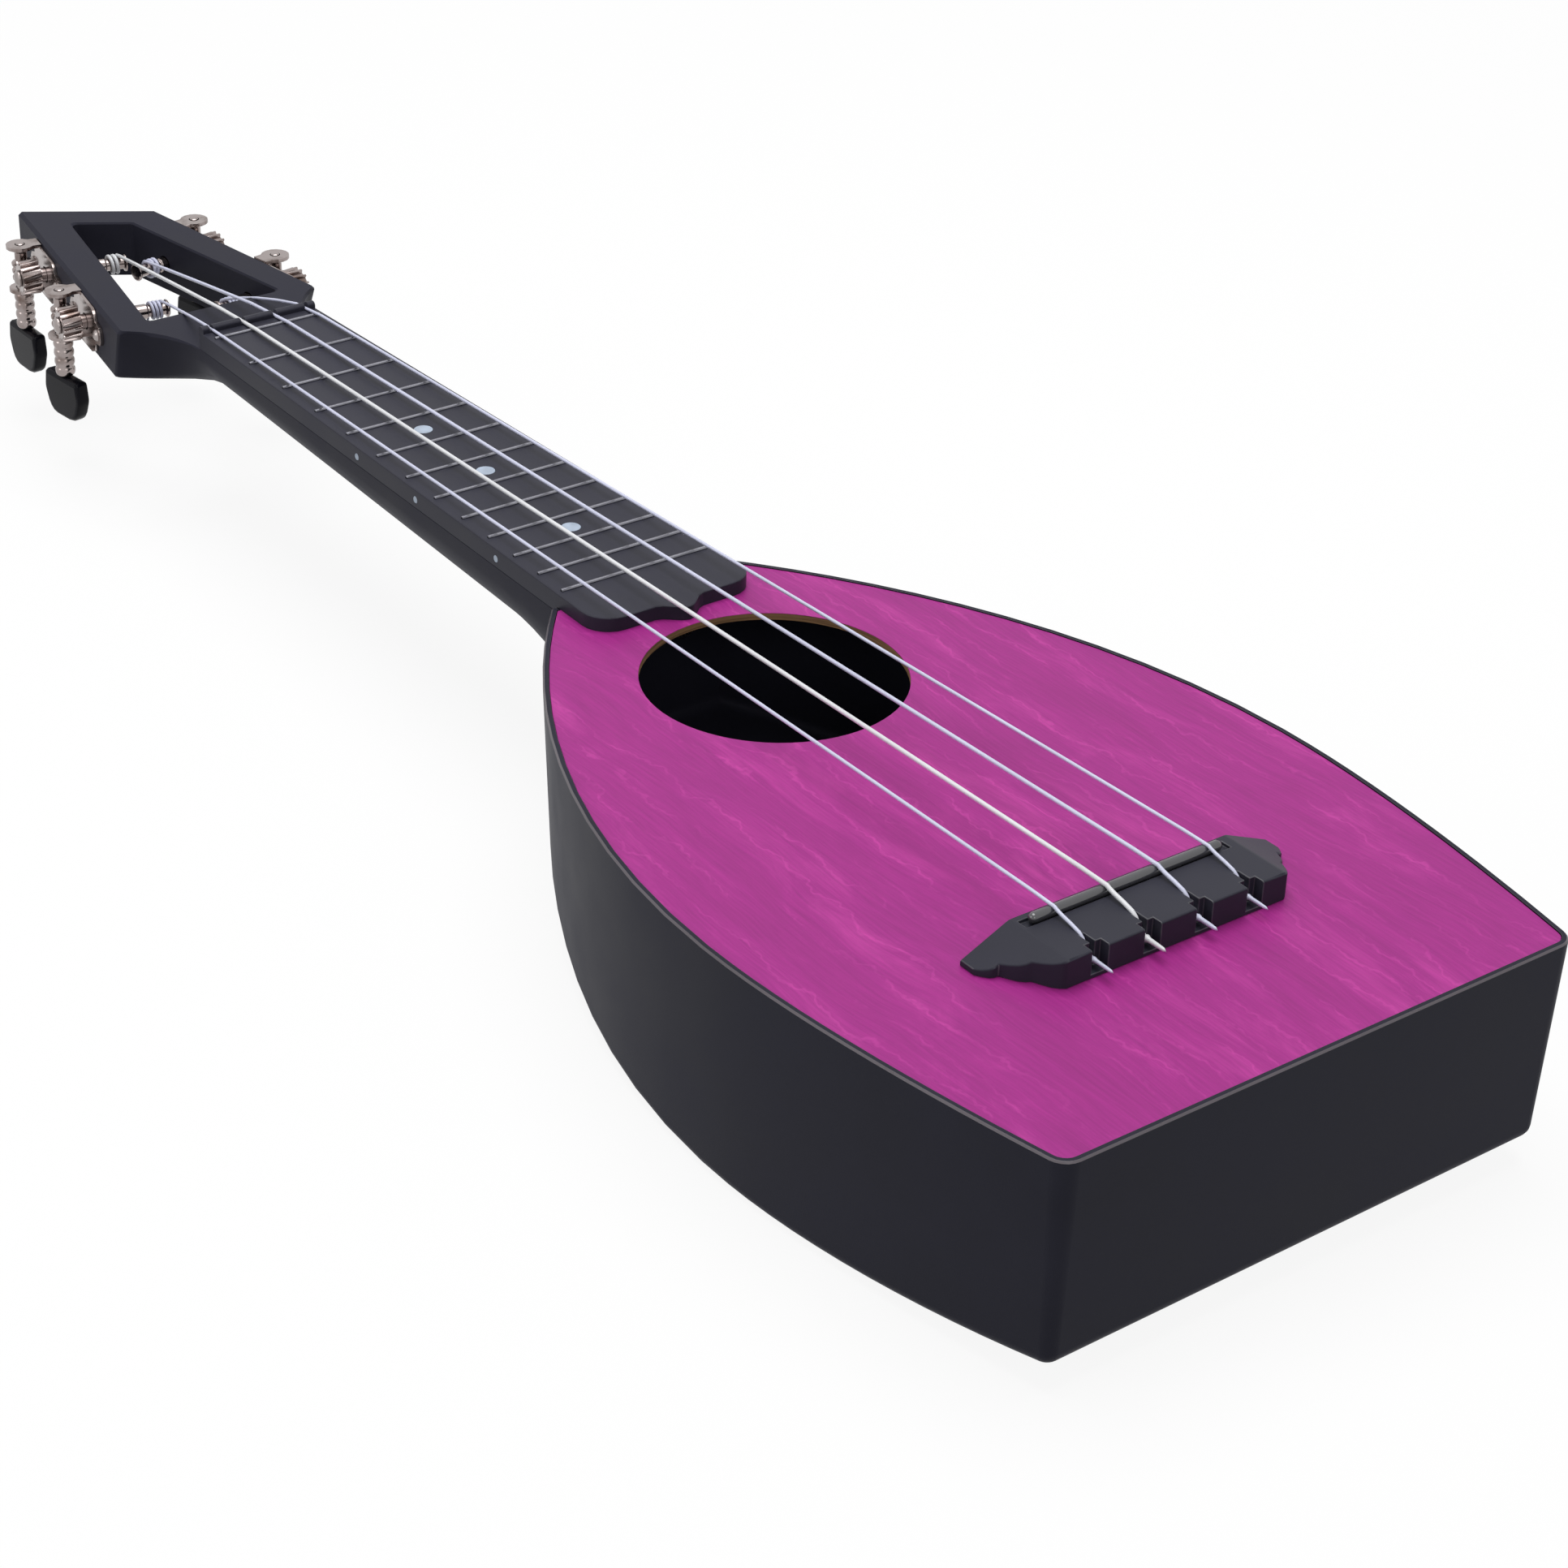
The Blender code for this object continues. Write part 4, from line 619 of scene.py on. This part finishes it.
@dataclass
class SoundBox:
    """The moulded shell, the veneered top and the wood glued under it."""

    shelf: FinishShelf
    shell_ease: float = 0.00024
    top_ease: float = 0.00012
    brace_ease: float = 0.0006
    rim_depth: float = 0.0006
    rim_least_tilt: float = 0.2
    rim_most_tilt: float = 0.97
    wall_tilt: float = 0.35

    def build(self, frame: dict) -> list[bpy.types.Object]:
        """Dress the shell, the soundboard and its braces.


        Returns:
            The finished pieces.
        """
        shell = NodeSkin("body_shell", "shell_skin", "instrument", "black_plastic", "shell", self.shell_ease,
                         segments=3).dress(frame, self.shelf)
        self.rub_rim(shell)
        top = NodeSkin("soundboard", "veneered_top", "instrument", "stained_veneer", "veneer",
                       self.top_ease).dress(frame, self.shelf)
        self.bare_ply(top)
        inside = [NodeSkin(node, f"{node}_skin", "instrument", "brace_wood", "brace",
                           self.brace_ease).dress(frame, self.shelf)
                  for node in ("upper_brace", "lower_brace", "bridge_plate")]
        return [shell, top, *inside]

    def rub_rim(self, shell: bpy.types.Object) -> None:
        """Give the eased rim around the top a glossier finish, whose lighter colour is a painted highlight.

        Args:
            shell: The dressed shell.
        """
        # Faces tilted up just under the top edge get the lighter finish: a painted highlight along the rim
        shell.data.materials.append(self.shelf.get("rim"))
        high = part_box("body_shell")[1].z
        for face in shell.data.polygons:
            tilted = self.rim_least_tilt < face.normal.z < self.rim_most_tilt
            if face.center.z > high - self.rim_depth and tilted:
                face.material_index = 1

    def bare_ply(self, top: bpy.types.Object) -> None:
        """Give the soundhole's wall and the underside their own bare wood.

        Args:
            top: The veneered top.
        """
        top.data.materials.append(self.shelf.get("ply_edge"))
        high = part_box("soundboard")[1].z
        for face in top.data.polygons:
            if face.normal.z < self.wall_tilt and face.center.z < high:
                face.material_index = 1


@dataclass
class NeckAssembly:
    """Neck with its headstock, fretboard, frets, dots and the bolts in the heel."""

    shelf: FinishShelf
    frets: int = 12
    neck_ease: float = 0.0003
    fretboard_ease: float = 0.00016
    fret_ease: float = 0.00012
    dot_ease: float = 0.00006
    bolt_ease: float = 0.0003

    def build(self, frame: dict) -> list[bpy.types.Object]:
        """Dress every piece of the neck.


        Returns:
            The finished pieces.
        """
        skins = [
            NodeSkin("neck", "neck_skin", "instrument", "black_plastic", "shell", self.neck_ease,
                     edge_polish_and_painted_highlight="edge"),
            NodeSkin("fretboard", "fretboard_skin", "instrument", "black_plastic", "board",
                     self.fretboard_ease, edge_polish_and_painted_highlight="edge"),
        ]
        skins += [NodeSkin(name, f"{name}_crown", "instrument", "fret_metal", "fret", self.fret_ease,
                           edge_angle=30.0)
                  for name in ["zero_fret"] + [f"fret_{number:02d}" for number in range(1, self.frets + 1)]]
        skins += [NodeSkin(name, f"{name}_inlay", "instrument", "pale_dot", "dot", self.dot_ease, segments=1)
                  for name in sorted(frame["nodes"]) if "_dot_" in name]
        skins += [NodeSkin(name, f"{name}_skin", "instrument", "steel", "steel", self.bolt_ease)
                  for name in ("neck_bolt_left", "neck_bolt_right")]
        return [skin.dress(frame, self.shelf) for skin in skins]


@dataclass
class BridgeAssembly:
    """Moulded bridge and its saddle rod."""

    shelf: FinishShelf
    bridge_ease: float = 0.0002

    def build(self, frame: dict) -> list[bpy.types.Object]:
        """Dress the bridge and the rod.


        Returns:
            The finished pieces.
        """
        skins = [
            NodeSkin("bridge", "bridge_skin", "instrument", "black_plastic", "board", self.bridge_ease,
                     edge_angle=55.0, edge_polish_and_painted_highlight="edge"),
            NodeSkin("saddle_rod", "saddle_rod_skin", "instrument", "black_plastic", "rod"),
        ]
        return [skin.dress(frame, self.shelf) for skin in skins]


@dataclass
class StringSet:
    """The four strings as they lie from the bridge to their windings."""

    shelf: FinishShelf
    thickest: str = "c"
    swell: float = 0.00014

    def build(self, frame: dict) -> list[bpy.types.Object]:
        """Dress each string.


        Returns:
            The finished pieces.
        """
        return [NodeSkin(f"string_{letter}", f"string_{letter}_line", "instrument", "nylon",
                         "thick_string" if letter == self.thickest else "string",
                         smooth_angle=80.0, swell=self.swell).dress(frame, self.shelf)
                for letter in STRING_LETTERS]


@dataclass(frozen=True)
class WormDrive:
    """Worm shaft and helical wheel of one tuner, made around the origin of the tuner's own axes.

    The first axis points out along the post, the second towards the worm and the third up the worm's shaft.
    """

    teeth: int = 14
    meeting_radius: float = 0.004625
    sunk: float = 0.0003
    wheel_middle: float = 0.0057
    wheel_width: float = 0.0054
    wheel_tip: float = 0.0049
    wheel_root: float = 0.0039
    wheel_bore: float = 0.0016
    wheel_steps: int = 56
    tooth_foot: float = 0.00047
    tooth_crest: float = 0.00027
    tooth_ease: float = 0.00012
    worm_away: float = 0.0070
    worm_root: float = 0.00175
    worm_tip: float = 0.00275
    thread_turns: int = 3
    thread_foot_share: float = 0.29
    thread_crest_share: float = 0.12
    steps: int = 28
    pin: float = 0.0012
    pin_tip: float = 0.00096
    pin_top: float = 0.0077
    pin_ease: float = 0.0002
    collar: float = 0.0023
    collar_top: float = 0.0062
    collar_foot: float = 0.0057
    collar_ease: float = 0.0001
    root_top: float = 0.0051
    root_foot: float = -0.0053
    neck: float = 0.0019
    neck_top: float = -0.0055
    neck_foot: float = -0.0068
    beads: int = 4
    bead_start: float = 0.0069
    bead_end: float = 0.0176
    bead_radius: float = 0.0028
    bead_waist: float = 0.0023
    bead_fullness: float = 0.6
    bead_shares: tuple[float, ...] = (0.06, 0.16, 0.32, 0.5, 0.68, 0.84, 0.94)
    stem: float = 0.0013
    stem_end: float = 0.0216

    @property
    def pitch(self) -> float:
        """Rise of the thread in one turn: one tooth's share of the circle on which wheel and worm meet."""
        return math.tau * self.meeting_radius / self.teeth

    @property
    def tooth_twist(self) -> float:
        """Turn of a tooth, in radians, from the wheel's middle to its face, so that it follows the thread."""
        slope = self.pitch / (math.tau * (self.worm_away - self.meeting_radius))
        return slope * self.wheel_width / 2 / self.meeting_radius

    def stem_profile(self) -> list[tuple[float, float]]:
        """Trace the turned shaft from the pin on top to the stem's end in the button.

        Returns:
            Radius and height of each point.
        """
        rows = [(0, self.pin_top), (self.pin_tip, self.pin_top), (self.pin, self.pin_top - self.pin_ease),
                (self.pin, self.collar_top), (self.collar - self.collar_ease, self.collar_top),
                (self.collar, self.collar_foot), (self.worm_root, self.root_top),
                (self.worm_root, self.root_foot), (self.neck, self.neck_top), (self.neck, self.neck_foot)]
        length = (self.bead_end - self.bead_start) / self.beads
        for number in range(self.beads):
            for share in self.bead_shares:
                swell = math.sin(math.pi * share) ** self.bead_fullness
                rows.append((self.bead_waist + (self.bead_radius - self.bead_waist) * swell,
                             -self.bead_start - length * (number + share)))
        return rows + [(self.bead_waist, -self.bead_end), (self.stem, -self.bead_end),
                       (self.stem, -self.stem_end), (0, -self.stem_end)]

    def worm(self, place: Matrix) -> bmesh.types.BMesh:
        """Turn the shaft and wind its thread, whose foot is sunk into the shaft.

        Args:
            place: The tuner's own axes.

        Returns:
            The mesh in its place.
        """
        bm = bmesh.new()
        points = [bm.verts.new((radius, 0, height)) for radius, height in self.stem_profile()]
        lines = [bm.edges.new(pair) for pair in zip(points, points[1:])]
        bmesh.ops.spin(bm, geom=points + lines, cent=(0, 0, 0), axis=(0, 0, 1), angle=math.tau,
                       steps=self.steps, use_merge=True)
        bmesh.ops.remove_doubles(bm, verts=bm.verts, dist=POLE_GAP)
        low = -self.thread_turns / 2 * self.pitch
        foot = self.worm_root - self.sunk
        corners = ((foot, -self.thread_foot_share), (self.worm_tip, -self.thread_crest_share),
                   (self.worm_tip, self.thread_crest_share), (foot, self.thread_foot_share))
        ridge = [bm.verts.new((0, -radius, low + share * self.pitch)) for radius, share in corners]
        face = bm.faces.new(ridge)
        bmesh.ops.spin(bm, geom=ridge + list(face.edges) + [face], cent=(0, 0, 0), axis=(0, 0, 1),
                       dvec=(0, 0, self.pitch / self.steps), angle=math.tau * self.thread_turns,
                       steps=self.steps * self.thread_turns)
        bmesh.ops.holes_fill(bm, edges=[edge for edge in bm.edges if edge.is_boundary], sides=4)
        return put_in_place(bm, place @ Matrix.Translation((self.wheel_middle, self.worm_away, 0)))

    def wheel(self, place: Matrix) -> bmesh.types.BMesh:
        """Turn the bored disc and repeat one twisted tooth around it, whose foot is sunk into the disc.

        Args:
            place: The tuner's own axes.

        Returns:
            The mesh in its place.
        """
        bm = bmesh.new()
        half = self.wheel_width / 2
        section = ((-half, self.wheel_bore), (half, self.wheel_bore), (half, self.wheel_root),
                   (-half, self.wheel_root))
        ring = [bm.verts.new((along, radius, 0)) for along, radius in section]
        lines = [bm.edges.new((ring[k - 1], ring[k])) for k in range(len(ring))]
        bmesh.ops.spin(bm, geom=ring + lines, cent=(0, 0, 0), axis=(1, 0, 0), angle=math.tau,
                       steps=self.wheel_steps, use_merge=True)
        bmesh.ops.remove_doubles(bm, verts=bm.verts, dist=POLE_GAP)
        tooth = self.first_tooth(bm)
        others = self.teeth - 1
        bmesh.ops.spin(bm, geom=tooth, cent=(0, 0, 0), axis=(1, 0, 0), angle=math.tau * others / self.teeth,
                       steps=others, use_duplicate=True)
        return put_in_place(bm, place @ Matrix.Translation((self.wheel_middle, 0, 0)))

    def first_tooth(self, bm: bmesh.types.BMesh) -> Geometry:
        """Shape one tooth from a cube: narrower at its crest, twisted along its width, with eased edges.

        Args:
            bm: The wheel's mesh, which gets the tooth.

        Returns:
            The vertices, edges and faces of the tooth.
        """
        corners = bmesh.ops.create_cube(bm, size=1)["verts"]
        for vert in corners:
            crest = vert.co.y > 0
            across = math.copysign(self.tooth_crest if crest else self.tooth_foot, vert.co.z)
            side = math.copysign(1, vert.co.x)
            height = self.wheel_tip if crest else self.wheel_root - self.sunk
            vert.co = (side * self.wheel_width / 2, height, across)
            vert.co.rotate(Matrix.Rotation(side * self.tooth_twist, 3, "X"))
        edges = list({edge for vert in corners for edge in vert.link_edges})
        eased = bmesh.ops.bevel(bm, geom=edges, offset=self.tooth_ease, offset_type="OFFSET", segments=2,
                                profile=0.5, affect="EDGES", clamp_overlap=True, material=-1)
        verts = list({vert for face in eased["faces"] for vert in face.verts})
        faces = {face for vert in verts for face in vert.link_faces}
        return verts + list({edge for face in faces for edge in face.edges}) + list(faces)


@dataclass
class Tuner:
    """One open-gear tuning machine."""

    letter: str
    shelf: FinishShelf
    drive: WormDrive = WormDrive()
    plate_ease: float = 0.00025
    button_ease: float = 0.0004
    post_ease: float = 0.0002
    screw_ease: float = 0.0001
    plate_face: float = 0.00102
    plate_screws_apart: float = 0.0218
    plate_screw_steps: int = 20
    plate_screw_outline: Outline = ((0.0, 0.0), (0.0, 0.0016), (0.0003, 0.00165), (0.0008, 0.0013),
                                    (0.0011, 0.0008), (0.00115, 0.0005), (0.0006, 0.0004), (0.0006, 0.0))

    def own_axes(self, frame: dict) -> Matrix:
        """Return the tuner's own axes: out along the post, towards the worm, and up its shaft.


        Returns:
            The matrix from those axes to the object's.
        """
        joints = {joint["name"]: joint for joint in frame["joints"]}
        post, shaft = joints[f"wind_{self.letter}"], joints[f"turn_{self.letter}"]
        centre, out = Vector(post["pos_m"]), Vector(post["axis"]).normalized()
        across = Vector(shaft["pos_m"]) - centre
        across -= out * across.dot(out)
        place = Matrix((out, across.normalized(), Vector((0, 0, 1)))).transposed().to_4x4()
        place.translation = centre
        return place

    def plate_screws(self, place: Matrix) -> bmesh.types.BMesh:
        """Turn the two domed heads that hold the plate, each around its own screw.

        Args:
            place: The tuner's own axes.

        Returns:
            The mesh in its place.
        """
        bm = bmesh.new()
        for side in (-1, 1):
            middle = Vector((self.plate_face, side * self.plate_screws_apart / 2, 0))
            points = [bm.verts.new(middle + Vector((rise, radius, 0)))
                      for rise, radius in self.plate_screw_outline]
            lines = [bm.edges.new(pair) for pair in zip(points, points[1:])]
            bmesh.ops.spin(bm, geom=points + lines, cent=middle, axis=(1, 0, 0), angle=math.tau,
                           steps=self.plate_screw_steps, use_merge=True)
        bmesh.ops.remove_doubles(bm, verts=bm.verts, dist=POLE_GAP)
        return put_in_place(bm, place)

    def build(self, frame: dict) -> list[bpy.types.Object]:
        """Dress the plate, worm, button, gear, post and screw, and add the heads of the plate's screws.


        Returns:
            The finished pieces.
        """
        stem = f"tuner_{self.letter}_"
        turning, winding = f"button_{self.letter}", f"post_{self.letter}"
        place = self.own_axes(frame)
        nickel, steel = [self.shelf.get("nickel")], [self.shelf.get("steel")]
        plate = NodeSkin(stem + "plate", stem + "plate_skin", "instrument", "nickel", "nickel",
                         self.plate_ease)
        button = NodeSkin(stem + "button", stem + "button_skin", turning, "black_plastic", "button",
                          self.button_ease, segments=3, edge_polish_and_painted_highlight="edge")
        post = NodeSkin(stem + "post", stem + "post_skin", winding, "nickel", "nickel", self.post_ease)
        screw = NodeSkin(stem + "screw", stem + "screw_skin", winding, "steel", "steel", self.screw_ease)
        return [
            plate.dress(frame, self.shelf),
            settle_piece(self.drive.worm(place), stem + "worm_shaft", stem + "worm", turning,
                         nickel, TURNED_SMOOTH_ANGLE),
            settle_piece(self.plate_screws(place), stem + "plate_screws", "", "instrument", steel,
                         TURNED_SMOOTH_ANGLE),
            settle_piece(self.drive.wheel(place), stem + "toothed_wheel", stem + "gear", winding,
                         nickel, TURNED_SMOOTH_ANGLE),
            button.dress(frame, self.shelf),
            post.dress(frame, self.shelf),
            screw.dress(frame, self.shelf),
        ]


@dataclass(frozen=True)
class SoftBox:
    """One large soft lamp, aimed at a point."""

    name: str
    place: Triple
    target: Triple
    size: float
    watts: float

    def build(self) -> None:
        """Hang the lamp."""
        lamp = bpy.data.lights.new(self.name, "AREA")
        lamp.shape = "DISK"
        lamp.size = self.size
        lamp.energy = self.watts
        holder = bpy.data.objects.new(self.name, lamp)
        holder.location = self.place
        look = Vector(self.target) - Vector(self.place)
        holder.rotation_euler = look.to_track_quat("-Z", "Y").to_euler()
        bpy.context.scene.collection.objects.link(holder)


@dataclass
class Studio:
    """Pale floor, soft lamps, white surroundings and the photograph's camera."""

    floor_radius: float = 4.0
    floor_segments: int = 64
    floor_roughness: float = 0.9
    floor_as_light: float = 0.36
    floor_glow_share: float = 0.9
    surround_as_light: float = 0.24
    camera_place: Triple = (-0.413571, -0.627918, 0.422666)
    camera_turn: Triple = (59.849072, -1.573326, -36.629232)
    lens_mm: float = 79.885
    sensor_mm: float = 36.0
    boxes: tuple[SoftBox, ...] = (
        SoftBox("overhead_box", (0.1, 0.1, 1.7), (0, 0, 0), 1.5, 23.0),
        SoftBox("tail_box", (-0.5, -1.6, 1.0), (0, -0.1, 0), 1.0, 3.5),
        SoftBox("left_box", (-1.7, 0.4, 0.7), (0, 0.1, 0), 1.0, 5.0),
    )

    def build(self) -> None:
        """Set up the whole studio."""
        self.lay_floor()
        self.light_surround()
        for box in self.boxes:
            box.build()
        self.place_camera()
        bpy.context.scene.view_settings.view_transform = "Standard"

    def lay_floor(self) -> None:
        """Lay a round floor that looks nearly white and throws less light back at the instrument."""
        bm = bmesh.new()
        bmesh.ops.create_circle(bm, cap_ends=True, radius=self.floor_radius, segments=self.floor_segments)
        mesh = bpy.data.meshes.new("studio_floor")
        bm.to_mesh(mesh)
        bm.free()
        floor = bpy.data.objects.new("studio_floor", mesh)
        bpy.context.scene.collection.objects.link(floor)
        mesh.materials.append(self.floor_paint())

    def floor_paint(self) -> bpy.types.Material:
        """Mix a matt paint with a glow that only the camera, reflections and clear pieces see.

        Returns:
            The finished material.
        """
        bench = NodeBench("floor_paint")
        bench.shader.inputs["Roughness"].default_value = self.floor_roughness
        glow = bench.add("Emission", {"Color": (*WHITE, 1), "Strength": 1.0})
        path = bench.add("LightPath")
        paint = bench.add("MapRange", {"Value": path.outputs["Is Camera Ray"], "To Min": self.floor_as_light,
                                       "To Max": 1.0})
        bench.plug(paint.outputs["Result"], "Base Color")
        seen = path.outputs["Is Camera Ray"]
        for ray in ("Is Glossy Ray", "Is Transmission Ray"):
            seen = bench.add("Math", {0: seen, 1: path.outputs[ray]}, operation="MAXIMUM").outputs["Value"]
        share = bench.add("Math", {0: seen, 1: self.floor_glow_share}, operation="MULTIPLY")
        mix = bench.add("MixShader", {0: share.outputs["Value"], 1: bench.shader.outputs["BSDF"],
                                      2: glow.outputs["Emission"]})
        output = next(node for node in bench.tree.nodes if node.type == "OUTPUT_MATERIAL")
        bench.tree.links.new(mix.outputs["Shader"], output.inputs["Surface"])
        return bench.material

    def light_surround(self) -> None:
        """Make the surroundings white to the eye and softer as a light."""
        world = bpy.data.worlds.new("studio_surround")
        bpy.context.scene.world = world
        world.use_nodes = True
        tree = world.node_tree
        back = tree.nodes["Background"]
        back.inputs["Color"].default_value = (*WHITE, 1)
        path = tree.nodes.new("ShaderNodeLightPath")
        level = path.outputs["Is Camera Ray"]
        for ray in ("Is Glossy Ray", "Is Transmission Ray"):
            either = tree.nodes.new("ShaderNodeMath")
            either.operation = "MAXIMUM"
            tree.links.new(level, either.inputs[0])
            tree.links.new(path.outputs[ray], either.inputs[1])
            level = either.outputs["Value"]
        strength = tree.nodes.new("ShaderNodeMapRange")
        tree.links.new(level, strength.inputs["Value"])
        strength.inputs["To Min"].default_value = self.surround_as_light
        strength.inputs["To Max"].default_value = 1.0
        tree.links.new(strength.outputs["Result"], back.inputs["Strength"])

    def place_camera(self) -> None:
        """Put the camera where the photograph was taken from."""
        data = bpy.data.cameras.new("photo_camera")
        data.lens = self.lens_mm
        data.sensor_width = self.sensor_mm
        data.sensor_fit = "HORIZONTAL"
        data.clip_start = 0.01
        camera = bpy.data.objects.new("photo_camera", data)
        camera.location = self.camera_place
        camera.rotation_euler = Euler([math.radians(angle) for angle in self.camera_turn], "XYZ")
        bpy.context.scene.collection.objects.link(camera)
        bpy.context.scene.camera = camera


def main() -> None:
    """Load the frame, dress every assembly and log the face count of each piece."""
    logging.basicConfig(level=logging.INFO, format="%(name)s: %(message)s")
    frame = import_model()
    Studio().build()
    shelf = FinishShelf()
    assemblies = [SoundBox(shelf), NeckAssembly(shelf), BridgeAssembly(shelf), StringSet(shelf)]
    assemblies += [Tuner(letter, shelf) for letter in STRING_LETTERS]
    for assembly in assemblies:
        for piece in assembly.build(frame):
            log.info("%s: %d faces", piece.name, len(piece.data.polygons))


if __name__ == "__main__":
    main()
